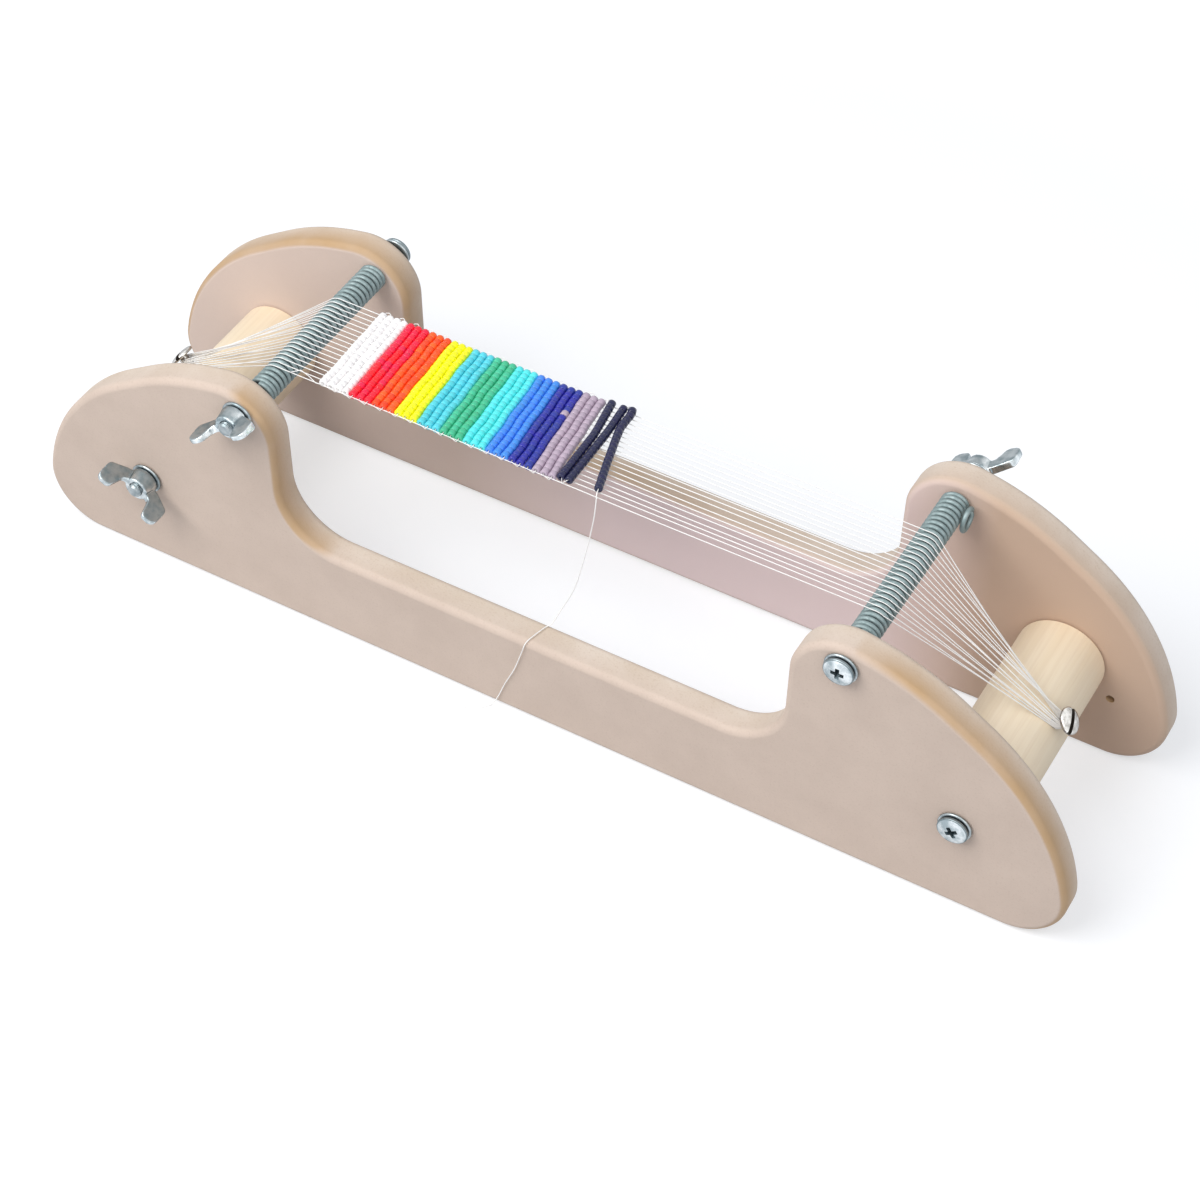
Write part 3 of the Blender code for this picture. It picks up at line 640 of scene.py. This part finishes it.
def screw_shade_and_dullness(middle, normal):
    """Painted shade inside the cross, round the side of the head and on the shank, which are rougher
    too; none on the top of the head.
    """
    if middle.z < 0:
        return 0.6
    across = middle.xy.length / HEAD
    if across > 0.93:
        return 0.8
    top = HEAD_SIDE + (HEAD_TOP - HEAD_SIDE) * math.sqrt(1 - across ** 2)
    return 1.0 if middle.z < top - 0.1 * MM or normal.z < 0.3 else 0.0


mark_shade_and_dullness(screw, screw_shade_and_dullness)

fixings = (
    ("left_spring", SPRING_X[-1], SPRING_Z, -1, 29),
    ("left_roller", ROLLER_X[-1], ROLLER_Z, -1, 148),
    ("right_spring", SPRING_X[1], SPRING_Z, 1, -32),
    ("right_roller", ROLLER_X[1], ROLLER_Z, 1, 70),
)
for i, (name, x, z, nut_way, _) in enumerate(fixings):
    seat = Matrix.Translation((x, -nut_way * FIXING_SEAT, z)) @ facing(-nut_way, math.radians(20 + 35 * i))
    piece = copied(f"{name}_screw", screw, seat, zinc)
    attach(piece, "frame")
    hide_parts(f"{name}_bolt")
bpy.data.objects.remove(screw)


# A flat steel washer lies under every head and every wing nut. Its rims are rounded over where it
# was punched out.
WASHER = 4.5 * MM
washer_profile = [
    (BORE, 0.12 * MM), (BORE + 0.12 * MM, 0), (WASHER - 0.2 * MM, 0), (WASHER, 0.2 * MM),
    (WASHER, WASHER_THICKNESS - 0.35 * MM), (WASHER - 0.1 * MM, WASHER_THICKNESS - 0.1 * MM),
    (WASHER - 0.35 * MM, WASHER_THICKNESS), (BORE + 0.12 * MM, WASHER_THICKNESS),
    (BORE, WASHER_THICKNESS - 0.12 * MM),
]
bm = bmesh.new()
turned(bm, washer_profile, 56, ring=True)
washer = finished("washer_shape", bm, 50)
# Every washer gets painted shade and a rougher finish all over.
mark_shade_and_dullness(washer, lambda middle, normal: 0.6)
for name, x, z, nut_way, _ in fixings:
    for end, way, body in (("head", -nut_way, "frame"), ("nut", nut_way, f"{name}_nut_washer")):
        seat = Matrix.Translation((x, way * (OUTER_FACE + SEAT_GAP), z)) @ facing(way)
        piece = copied(f"{name}_{end}_flat_washer", washer, seat, zinc)
        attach(piece, body)
        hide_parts(f"{name}_{end}_washer")
bpy.data.objects.remove(washer)


# The wing nuts are pressed steel, zinc plated: a cone with two ears that a finger and thumb turn,
# and soft corners everywhere.
NUT_BASE = 4 * MM
NUT_TOP = 3.4 * MM
NUT_HEIGHT = 4.2 * MM
NUT_BORE = SHANK + 0.15 * MM
EAR_HALF = 1.1 * MM
EAR_RISE = 4.7 * MM
EAR_TAPER = 0.3


def rotate_all(bm, degrees, axis):
    """Turns all of a bmesh about an axis through the origin."""
    bmesh.ops.rotate(bm, verts=bm.verts[:], cent=(0, 0, 0),
                     matrix=Matrix.Rotation(math.radians(degrees), 3, axis))


bm = bmesh.new()
turned(bm, [(0, 0), (NUT_BASE, 0), (NUT_BASE, 0.7 * MM), (NUT_TOP, NUT_HEIGHT), (0, NUT_HEIGHT)], 48)
nut = finished("nut_shape", bm)
ear_corners = [(2.4, 0.6, 0), (5, 1.1, 1.4), (10, 3.5, 1.4), (10, 9.5, 2), (5.8, 9.5, 1.5), (4.4, 4.4, 1.4),
               (2.4, 4, 0)]
ear_outline = rounded_outline([(x * MM, z * MM, r * MM) for x, z, r in ear_corners], math.radians(12))
for turn in (0, 180):
    bm = bmesh.new()
    plate(bm, ear_outline, -EAR_HALF, EAR_HALF)
    for vert in bm.verts:
        vert.co.y *= 1 - EAR_TAPER * max(0, vert.co.z - NUT_HEIGHT) / EAR_RISE
    rotate_all(bm, turn, "Z")
    boolean(nut, finished(f"ear_{turn}", bm), "UNION")
skin = nut.modifiers.new("skin", "REMESH")
skin.mode = "VOXEL"
skin.voxel_size = 0.2 * MM
melt = nut.modifiers.new("melt", "SMOOTH")
melt.factor = 0.5
melt.iterations = 6
worked(nut, 60)
bm = bmesh.new()
turned(bm, [(0, -MM), (NUT_BORE, -MM), (NUT_BORE, 6 * MM), (0, 6 * MM)], 32)
boolean(nut, finished("nut_bore", bm))
worked(nut, 50)
# The flat faces of the ears get painted shade and a rougher finish, in place of the darker reflections that
# they show.
mark_shade_and_dullness(nut, lambda middle, normal: 0.65 * limited(2.5 * abs(normal.y) - 1.1))
for name, x, z, nut_way, turn in fixings:
    seat = Matrix.Translation((x, nut_way * FIXING_SEAT, z)) @ facing(nut_way, math.radians(turn))
    piece = copied(f"{name}_winged_nut", nut, seat, zinc)
    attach(piece, f"{name}_wing_nut")
    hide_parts(f"{name}_wing_nut")
bpy.data.objects.remove(nut)


# Each roller is a length of pale softwood dowel, bored along its middle for its screw. The grain
# runs along it, in straight faint lines, and its ends are broken by a small chamfer.
ROLLER = 11.85 * MM
ROLLER_HALF = 27.2 * MM
CHAMFER = 0.6 * MM
PEG_ANGLE = math.radians(38.5)
PEG_Y = -1 * MM
PEG_SHANK = 1.25 * MM
PEG_BORE = 1.35 * MM
PEG_DRILL = 8 * MM
LOOP_HEIGHTS = [(0.65 + 0.34 * level) * MM for level in range(10)]

softwood, tree, shader, place = new_material("softwood_dowel")
along = node(tree, "ShaderNodeMapping", {"Vector": place, "Scale": (1, 0.035, 1)}).outputs[0]
rings = node(tree, "ShaderNodeTexWave", {
    "Vector": along, "Scale": 130, "Distortion": 5, "Detail": 2, "Detail Scale": 0.6,
    "Phase Offset": noise(tree, place, 18, 1),
}, wave_type="BANDS", bands_direction="X", wave_profile="SIN").outputs["Fac"]
ring_share = spread(tree, rings, 0.55, 1, 0, 0.22)
wood = grained(tree, along, (0.9, 0.78, 0.6, 1), (0.86, 0.73, 0.54, 1), (0.76, 0.6, 0.42, 1), 260, 1900)
feed(shader, {
    "Base Color": colour_mix(tree, ring_share, wood["Color"], (0.78, 0.64, 0.47, 1)),
    "Roughness": wood["Roughness"],
    "Normal": bumps(tree, wood["Height"], 0.3, 0.1 * MM),
    "Specular IOR Level": 0.35,
})


def peg_axes(side):
    """Unit vectors at a peg: out of the roller, and round it away from the spring."""
    out = Vector((side * math.cos(PEG_ANGLE), 0, math.sin(PEG_ANGLE)))
    onward = Vector((side * math.sin(PEG_ANGLE), 0, -math.cos(PEG_ANGLE)))
    return out, onward


def peg_seat(side, height=0.0):
    """The point on a peg's axis at this height over the roller's surface."""
    return Vector((ROLLER_X[side], PEG_Y, ROLLER_Z)) + peg_axes(side)[0] * (ROLLER + height)


def on_peg(side):
    """Moves a piece made upright onto a peg's axis, its height 0 to the roller's surface."""
    return Matrix.Translation(peg_seat(side)) @ peg_axes(side)[0].to_track_quat("Z", "Y").to_matrix().to_4x4()


for side, word in ((-1, "left"), (1, "right")):
    bm = bmesh.new()
    profile = [(BORE, -ROLLER_HALF), (ROLLER - CHAMFER, -ROLLER_HALF),
               (ROLLER - 0.3 * CHAMFER, -ROLLER_HALF + CHAMFER / 3), (ROLLER, -ROLLER_HALF + CHAMFER)]
    turned(bm, profile + [(radius, -height) for radius, height in reversed(profile)], 120, ring=True)
    rotate_all(bm, 90, "X")
    bmesh.ops.translate(bm, verts=bm.verts[:], vec=(ROLLER_X[side], 0, ROLLER_Z))
    roller = finished(f"{word}_dowel", bm)
    bm = bmesh.new()
    turned(bm, [(0, -PEG_DRILL), (PEG_BORE, -PEG_DRILL), (PEG_BORE, MM), (0, MM)], 24)
    bmesh.ops.transform(bm, verts=bm.verts[:], matrix=on_peg(side))
    boolean(roller, finished("peg_drill", bm))
    worked(roller)
    roller.data.materials.clear()
    roller.data.materials.append(softwood)
    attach(roller, f"{word}_roller")
    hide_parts(f"{word}_roller")


# A slotted screw stands in the middle of each roller, its head well clear of the wood, and the
# warp is looped round its neck.
PEG_TIP = -7.4 * MM
PEG_THREAD_START = -5.4 * MM
PEG_THREAD_END = 3.6 * MM
PEG_THREAD_RINGS = 60
PEG_PITCH = 1.3 * MM
PEG_NECK = 4.15 * MM
PEG_HEAD_SIDE = PEG_NECK + 0.7 * MM
PEG_HEAD_TOP = PEG_NECK + 1.5 * MM
PEG_HEAD_RADIUS = 3.5 * MM
PEG_SLOT = (1.25 * MM, 9 * MM, 2.4 * MM, 1)
PEG_SLOT_TURN = math.radians(-62)

peg_steel = plated("bright_screw", (0.9, 0.89, 0.86, 1), (0.45, 0.43, 0.4, 1), (0.08, 0.07, 0.06, 1),
                   600, 0.1, 0.08 * MM)
bm = bmesh.new()
thread_step = (PEG_THREAD_END - PEG_THREAD_START) / PEG_THREAD_RINGS
thread_heights = [PEG_THREAD_START + thread_step * i for i in range(PEG_THREAD_RINGS + 1)]
head_rim = [(PEG_HEAD_RADIUS - HEAD_EDGE, PEG_NECK), (PEG_HEAD_RADIUS, PEG_NECK + HEAD_EDGE)]
turned(bm, [(0, PEG_TIP)] + [(PEG_SHANK, height) for height in thread_heights] + [(PEG_SHANK, PEG_NECK)]
       + head_rim + domed(PEG_HEAD_RADIUS, PEG_HEAD_SIDE, PEG_HEAD_TOP, 10), 32)
threaded(bm, PEG_THREAD_START, PEG_THREAD_END, PEG_SHANK, PEG_PITCH)
peg = finished("peg_shape", bm)
bm = bmesh.new()
middle = Matrix.Rotation(PEG_SLOT_TURN, 4, "Z") @ Matrix.Translation((0, 0, PEG_HEAD_TOP))
bmesh.ops.create_cube(bm, size=1, matrix=middle @ Matrix.Diagonal(PEG_SLOT))
boolean(peg, finished("peg_slot", bm))
worked(peg)


def peg_shade_and_dullness(middle, normal):
    """Painted shade inside the slot, round the side of the head and on the neck and shank, which are
    rougher too.
    """
    if middle.z < PEG_HEAD_SIDE - 0.05 * MM:
        return 0.5
    across = min(1, middle.xy.length / PEG_HEAD_RADIUS)
    top = PEG_HEAD_SIDE + (PEG_HEAD_TOP - PEG_HEAD_SIDE) * math.sqrt(1 - across ** 2)
    return 1.0 if middle.z < top - 0.1 * MM or normal.z < 0.2 else 0.0


mark_shade_and_dullness(peg, peg_shade_and_dullness)
for side, word in ((-1, "left"), (1, "right")):
    piece = copied(f"{word}_thread_screw", peg, on_peg(side), peg_steel)
    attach(piece, f"{word}_roller")
    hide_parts(f"{word}_warp_peg")
bpy.data.objects.remove(peg)


# The springs are wound from plated wire and slipped over the two upper screws. Their end turns
# close up against the boards, and the right one keeps the hook that it was made with.
WIRE = 0.66 * MM
COIL = 3.15 * MM
CURLS = 31
COIL_END = 26.1 * MM
CURL_PITCH = 2 * COIL_END / CURLS
CLOSED_PITCH = 1.33 * MM
FIRST_TURN = -0.75
CURL_STEPS = 28
HOOK_X = SPRING_X[1] + COIL + 2 * WIRE + 0.15 * MM
HOOK_RADIUS = 2.9 * MM
HOOK_TOP = SPRING_Z - 1 * MM
HOOK_BEND = [(0.35, -0.45 * MM), (0.8, -0.9 * MM)]
HOOK_TURN = math.radians(330)
HOOK_STEPS = 26

spring_wire = plated("spring_wire", (0.3, 0.37, 0.38, 1), (0.25, 0.32, 0.33, 1), (0.26, 0.33, 0.34, 1),
                     700, 0.6, 0.08 * MM)


def coil_y(turn):
    """How far across the loom the wire has come at this turn; the first and last turns are closed."""
    if turn < 1:
        return -COIL_END + CURL_PITCH - (1 - turn) * CLOSED_PITCH
    if turn > CURLS - 1:
        return COIL_END - CURL_PITCH + (turn - CURLS + 1) * CLOSED_PITCH
    return -COIL_END + CURL_PITCH * turn


def coil_point(side, turn):
    """A point of a spring's wire: it winds down on its right as it goes to the rear."""
    angle = math.pi - math.tau * turn
    return Vector((SPRING_X[side] + COIL * math.cos(angle), coil_y(turn), SPRING_Z + COIL * math.sin(angle)))


for side, word in ((-1, "left"), (1, "right")):
    turns = CURLS - FIRST_TURN + (0.75 if side < 0 else 0.5)
    steps = round(turns * CURL_STEPS)
    wire = [coil_point(side, FIRST_TURN + turns * i / steps) for i in range(steps + 1)]
    if side > 0:
        tail = wire[-1]
        wire += [tail + Vector((share * (HOOK_X - tail.x), 0, drop)) for share, drop in HOOK_BEND]
        for i in range(1, HOOK_STEPS + 1):
            angle = HOOK_TURN * i / HOOK_STEPS
            wire.append(Vector((HOOK_X, tail.y - HOOK_RADIUS * (1 - math.cos(angle)),
                                HOOK_TOP - HOOK_RADIUS * math.sin(angle))))
    spring = strung(f"{word}_coil", [wire], WIRE, spring_wire, 3)
    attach(spring, "frame")
    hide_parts(f"{word}_spring")


# The warp is one long white thread, wound back and forth between the pegs and laid in the valleys
# of both springs. It runs straight between the springs and gathers to a point at each peg.
WARP = 0.13 * MM
RUNS = 19
LAST_RUN = RUNS - 1
MIDDLE_RUN = LAST_RUN // 2
FIRST_RUN_Y = -19.785 * MM
WARP_LIFT = 3.771 * MM
LOOP_RADIUS = PEG_SHANK + WARP + 0.12 * MM
ACROSS = Vector((0, 1, 0))
BLEND_ANGLES = (math.radians(60), math.radians(47))
FREE_FROM = 4 * MM
FREE_TO = 86 * MM
FREE_EASE = 30 * MM
RUN_STEPS = 40
OVER_STEPS = 8
LOOP_STEPS = 14
FAN_STEPS = 60
run_y = [FIRST_RUN_Y + i * CURL_PITCH for i in range(RUNS)]


def over_spring(side, run, height):
    """A run's points from the top of a spring to where it leaves for a loop at this height."""
    away = peg_seat(side, height) - Vector((SPRING_X[side], PEG_Y, SPRING_Z))
    slope = math.atan2(away.z, side * away.x)
    leave = slope + math.acos(WARP_LIFT / math.hypot(away.x, away.z))
    top = math.radians(90)
    points = []
    for step in range(OVER_STEPS + 1):
        angle = top + (leave - top) * step / OVER_STEPS
        shift = side * CURL_PITCH * (top - angle) / math.tau
        points.append(Vector((SPRING_X[side] + side * WARP_LIFT * math.cos(angle), run_y[run] + shift,
                              SPRING_Z + WARP_LIFT * math.sin(angle))))
    return points


def touch_angle(side, start, height, way):
    """Where a run from this point meets the loop round a peg, on its front (-1) or rear (1) side."""
    offset = start - peg_seat(side, height)
    ahead = -offset.dot(peg_axes(side)[1])
    sideways = -offset.y
    direction = math.atan2(sideways, ahead) + way * math.asin(LOOP_RADIUS / math.hypot(ahead, sideways))
    return direction + way * math.radians(90)


def loop(side, height, first, last):
    """Points round a peg between two angles."""
    ring = []
    for step in range(LOOP_STEPS + 1):
        angle = first + (last - first) * step / LOOP_STEPS
        spoke = peg_axes(side)[1] * math.cos(angle) + ACROSS * math.sin(angle)
        ring.append(peg_seat(side, height) + spoke * LOOP_RADIUS)
    return ring


def gathered(start, stop):
    """Points of a nearly straight stretch, closest together where it reaches the roller."""
    slack = Vector((0, random.uniform(-0.7, 0.7), random.uniform(-0.4, 0.2))) * MM
    shares = [1 - (1 - i / FAN_STEPS) ** 3 for i in range(1, FAN_STEPS)]
    return [start.lerp(stop, share) + slack * math.sin(math.pi * share) for share in shares]


def hairpin(side, front_run, rear_run, level):
    """From the front run's top of spring, round the peg, to the rear run's top of spring."""
    height = LOOP_HEIGHTS[level]
    going = over_spring(side, front_run, height)
    coming = over_spring(side, rear_run, height)
    first = touch_angle(side, going[-1], height, -1)
    last = touch_angle(side, coming[-1], height, 1)
    ring = loop(side, height, first, last)
    return going + gathered(going[-1], ring[0]) + ring + gathered(coming[-1], ring[-1])[::-1] + coming[::-1]


def tied_end(side, run, level):
    """From a run's top of spring to its tied end round the peg."""
    height = LOOP_HEIGHTS[level]
    going = over_spring(side, run, height)
    first = touch_angle(side, going[-1], height, -1)
    ring = loop(side, height, first, first + math.radians(300))
    return going + gathered(going[-1], ring[0]) + ring


def as_mesh(obj):
    """Turns a curve object into a mesh object of the same name."""
    graph = bpy.context.evaluated_depsgraph_get()
    name = obj.name
    mesh = bpy.data.meshes.new_from_object(obj.evaluated_get(graph))
    curve = obj.data
    bpy.data.objects.remove(obj)
    bpy.data.curves.remove(curve)
    mesh.name = name
    return placed(name, mesh)


random.seed(5)
fans = {-1: [tied_end(-1, 0, 0)], 1: [tied_end(1, MIDDLE_RUN, MIDDLE_RUN)]}
for i in range(MIDDLE_RUN):
    fans[1].append(hairpin(1, i, LAST_RUN - i, i))
    fans[-1].append(hairpin(-1, i + 1, LAST_RUN - i, i + 1))
for side, word in ((-1, "left"), (1, "right")):
    fan = as_mesh(strung(f"{word}_warp_fan", fans[side], WARP, white_thread))
    leave = ROLLER + LOOP_HEIGHTS[0]
    hub = Vector((ROLLER_X[side], PEG_Y, ROLLER_Z))
    begin, end = (hub + leave * Vector((side * math.cos(a), 0, math.sin(a))) for a in BLEND_ANGLES)
    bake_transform(fan)
    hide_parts("warp_thread")

random.seed(11)
straight_runs = []
for y in run_y:
    drift = random.uniform(-0.3, 0.3) * MM
    sag = random.uniform(0.05, 0.35) * MM
    run = []
    for i in range(RUN_STEPS + 1):
        share = i / RUN_STEPS
        x = SPRING_X[-1] + (SPRING_X[1] - SPRING_X[-1]) * share
        free = limited(min((x - FREE_FROM) / FREE_EASE, (FREE_TO - x) / FREE_EASE))
        lean = free * math.sin(math.pi * share) ** 2
        run.append(Vector((x, y + drift * free, WARP_HEIGHT - sag * lean)))
    straight_runs.append(run)
warp = strung("warp_runs", straight_runs, WARP, white_thread)
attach(warp, "frame")
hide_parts("warp_thread")


# The band is woven from small round glass beads, eighteen to a row, one in each gap of the warp.
# The rows wander a little and slant towards the front edge, and no two beads are quite alike.
ROW_BEADS = 18
BEAD = 1.1 * MM
BEAD_HALF = 0.83 * MM
BEAD_HOLE = 0.4 * MM
BAND_HEIGHT = 72.25 * MM
FAR_START = -69.4 * MM
NEAR_START = -68.6 * MM
FAR_PITCH = 2.19 * MM
NEAR_PITCH = 2.255 * MM
BAND_FAR_Y = 10.5 * MM
BAND_WIDTH = 30.3 * MM

bead_glass, given, result = effect("bead_glass", [
    ("Vector", "NodeSocketVector", None),
    ("Glass", "NodeSocketColor", (1, 1, 1, 1)),
    ("Shade", "NodeSocketFloat", 0.5),
], [("Color", "NodeSocketColor"), ("Roughness", "NodeSocketFloat")])
varied = node(bead_glass, "ShaderNodeHueSaturation", {
    "Hue": spread(bead_glass, given["Shade"], 0, 1, 0.494, 0.506),
    "Value": spread(bead_glass, given["Shade"], 0, 1, 0.92, 1.05),
    "Color": given["Glass"],
})
swirl = noise(bead_glass, given["Vector"], 900, 2)
feed(result, {"Color": varied.outputs[0], "Roughness": spread(bead_glass, swirl, 0, 1, 0.14, 0.4)})


def glass(name, colour, shine=0.5):
    """Opaque coloured glass, a little different from bead to bead."""
    material, tree, shader, place = new_material(name)
    tinted = node(tree, "ShaderNodeGroup", {
        "Vector": place, "Glass": (*colour, 1), "Shade": stored(tree, "shade"),
    }, node_tree=bead_glass).outputs
    feed(shader, {
        "Base Color": tinted["Color"], "Roughness": tinted["Roughness"], "Specular IOR Level": shine,
    })
    return material


bm = bmesh.new()
turned(bm, [(BEAD_HOLE, -0.76 * MM), (0.98 * MM, -BEAD_HALF), (BEAD, -0.66 * MM), (BEAD, 0.66 * MM),
            (0.98 * MM, BEAD_HALF), (BEAD_HOLE, 0.76 * MM)], 12, ring=True)
rotate_all(bm, 90, "X")
bead = finished("bead_shape", bm, 70)


def threaded_beads(name, places, material, slot, *nodes):
    """Beads at (point, direction of their hole) places, joined into one piece of the band."""
    bm = bmesh.new()
    shade = bm.verts.layers.float.new("shade")
    for point, way in places:
        before = len(bm.verts)
        bm.from_mesh(bead.data)
        new = list(bm.verts)[before:]
        tone = random.random()
        girth = random.uniform(0.98, 1.02)
        stretch = Matrix.Diagonal((girth, random.uniform(0.97, 1.01), girth, 1))
        spin = Matrix.Rotation(random.uniform(0, math.tau), 4, "Y")
        turn = ACROSS.rotation_difference(way).to_matrix().to_4x4()
        bmesh.ops.transform(bm, verts=new, matrix=Matrix.Translation(point) @ turn @ stretch @ spin)
        for vert in new:
            vert[shade] = tone
    mesh = bpy.data.meshes.new(name)
    bm.to_mesh(mesh)
    bm.free()
    mesh.shade_smooth()
    mesh.materials.append(material)
    piece = placed(name, mesh)
    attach(piece, "frame")
    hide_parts(*nodes)


def row_point(row, y):
    """Where the middle of a bead of this row lies, at this distance across the loom."""
    share = (BAND_FAR_Y - y) / BAND_WIDTH
    far = FAR_START + FAR_PITCH * row
    near = NEAR_START + NEAR_PITCH * row
    wander = 0.09 * math.sin(y / MM / 2.3 + 0.3 * row) + 0.05 * math.sin(y / MM / 1.2 - 0.7 * row)
    swell = 0.07 * math.sin(y / MM / 1.9 + 0.5 * row)
    return Vector((far + (near - far) * share + wander * MM, y, BAND_HEIGHT + swell * MM))


def row_places(row):
    """The places of a row's beads."""
    places = []
    for left, right in zip(run_y, run_y[1:]):
        middle = (left + right) / 2
        ahead = row_point(row, middle + 0.2 * MM) - row_point(row, middle - 0.2 * MM)
        jitter = Vector((random.uniform(-0.04, 0.04), 0, random.uniform(-0.05, 0.05))) * MM
        places.append((row_point(row, middle) + jitter, ahead.normalized()))
    return places


stripes = (
    ("white", 4, (1, 0.98, 0.98)),
    ("red", 3, (0.95, 0.015, 0.055)),
    ("orange", 3, (1, 0.1, 0.015)),
    ("yellow", 3, (1, 1, 0.01)),
    ("sky_blue", 3, (0.1, 0.69, 0.8)),
    ("green", 3, (0.06, 0.55, 0.31)),
    ("turquoise", 3, (0.1, 0.83, 0.85)),
    ("blue", 3, (0.06, 0.285, 0.87)),
    ("purple_blue", 3, (0.024, 0.034, 0.36)),
    ("lilac", 3, (0.5, 0.4, 0.5)),
)
STRAY_BEAD = Vector((-10, 2, 72.2)) * MM
random.seed(3)
row = 0
stray = []
for word, rows, colour in stripes:
    places = list(stray)
    for _ in range(rows):
        places += row_places(row)
        row += 1
    stray = [min(places, key=lambda item: (item[0] - STRAY_BEAD).length)] if word == "purple_blue" else []
    places = [item for item in places if item not in stray]
    threaded_beads(f"{word}_beads", places, glass(f"{word}_glass", colour), f"{word}_beads",
                   f"{word}_bead_rows")
band_rows = row


# The last two rows are dark blue and not yet pushed home, and one more strand of dark beads lies
# loose across the warp, still joined to them at the far edge.
dark_glass = glass("dark_glass", (0.01, 0.012, 0.06), 0.45)


def bead_chain(knots):
    """Places of a row's beads, evenly spread along a smooth route through the knots."""
    route = smooth_route([Vector(knot) * MM for knot in knots], 2 * ROW_BEADS + 1)
    return [(route[i], (route[i + 1] - route[i - 1]).normalized()) for i in range(1, 2 * ROW_BEADS, 2)]


dark_chains = (
    ("first_dark_row", "first_dark_bead_row",
     [(-0.9, 10.9, 72.9), (0, 4.4, 72.7), (0.8, -1.2, 72.7), (1, -4.2, 72.8), (1.2, -11.2, 72.8),
      (1.4, -19.4, 72.8)]),
    ("second_dark_row", "second_dark_bead_row",
     [(2.7, 10.6, 73), (3.3, 2, 72.8), (3.4, -3.5, 72.7), (3.5, -9.7, 72.7), (3.6, -19.2, 72.7)]),
    ("loose_dark_strand", "loose_bead_strand",
     [(4.8, 11, 73.1), (5.4, 9, 73), (5.5, 4.1, 73), (6.3, 0.4, 73), (7.6, -4.4, 73), (8.8, -8.8, 73),
      (10.4, -14.2, 73), (11.7, -18.5, 73.1)]),
)
chain_places = []
for name, solid, knots in dark_chains:
    places = bead_chain(knots)
    chain_places.append(places)
    threaded_beads(name, places, dark_glass, "dark_beads", solid)
bpy.data.objects.remove(bead)


# The beading thread runs through every row and loops round the outermost warp threads at both
# edges. Its first end is knotted to the warp beside the left spring.
WEFT = 0.12 * MM
EDGE_BULGE = 0.75 * MM
ROW_STEPS = 12
first_end = [(-78.3, -20.1, 72.1), (-76.2, -18.4, 72.5), (-73.2, -19.2, 72.4), (-70.4, -20.3, 72.2)]
weft = [Vector(point) * MM for point in first_end]
near_edge = run_y[0] - 0.2 * MM
far_edge = run_y[-1] + 0.2 * MM
for row in range(band_rows):
    start, stop = (near_edge, far_edge) if row % 2 == 0 else (far_edge, near_edge)
    weft += [row_point(row, start + (stop - start) * i / ROW_STEPS) for i in range(ROW_STEPS + 1)]
    if row < band_rows - 1:
        way = 1 if row % 2 == 0 else -1
        here = row_point(row, stop)
        after = row_point(row + 1, stop)
        for share, bulge, lift in ((0.12, 0.7, 0.35), (0.5, 1, 0.5), (0.88, 0.7, -0.3)):
            weft.append(here.lerp(after, share) + Vector((0, way * bulge * EDGE_BULGE, lift * MM)))
first, second, strand = ([point for point, _ in places] for places in chain_places)
weft += [Vector((-2.4, 11.3, 72.6)) * MM, *first, Vector((2.5, -20.6, 72.5)) * MM, *second[::-1],
         Vector((3.6, 11.7, 72.9)) * MM, *strand, working_route[0]]
weft_thread = strung("beading_thread", [weft], WEFT, white_thread)
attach(weft_thread, "frame")
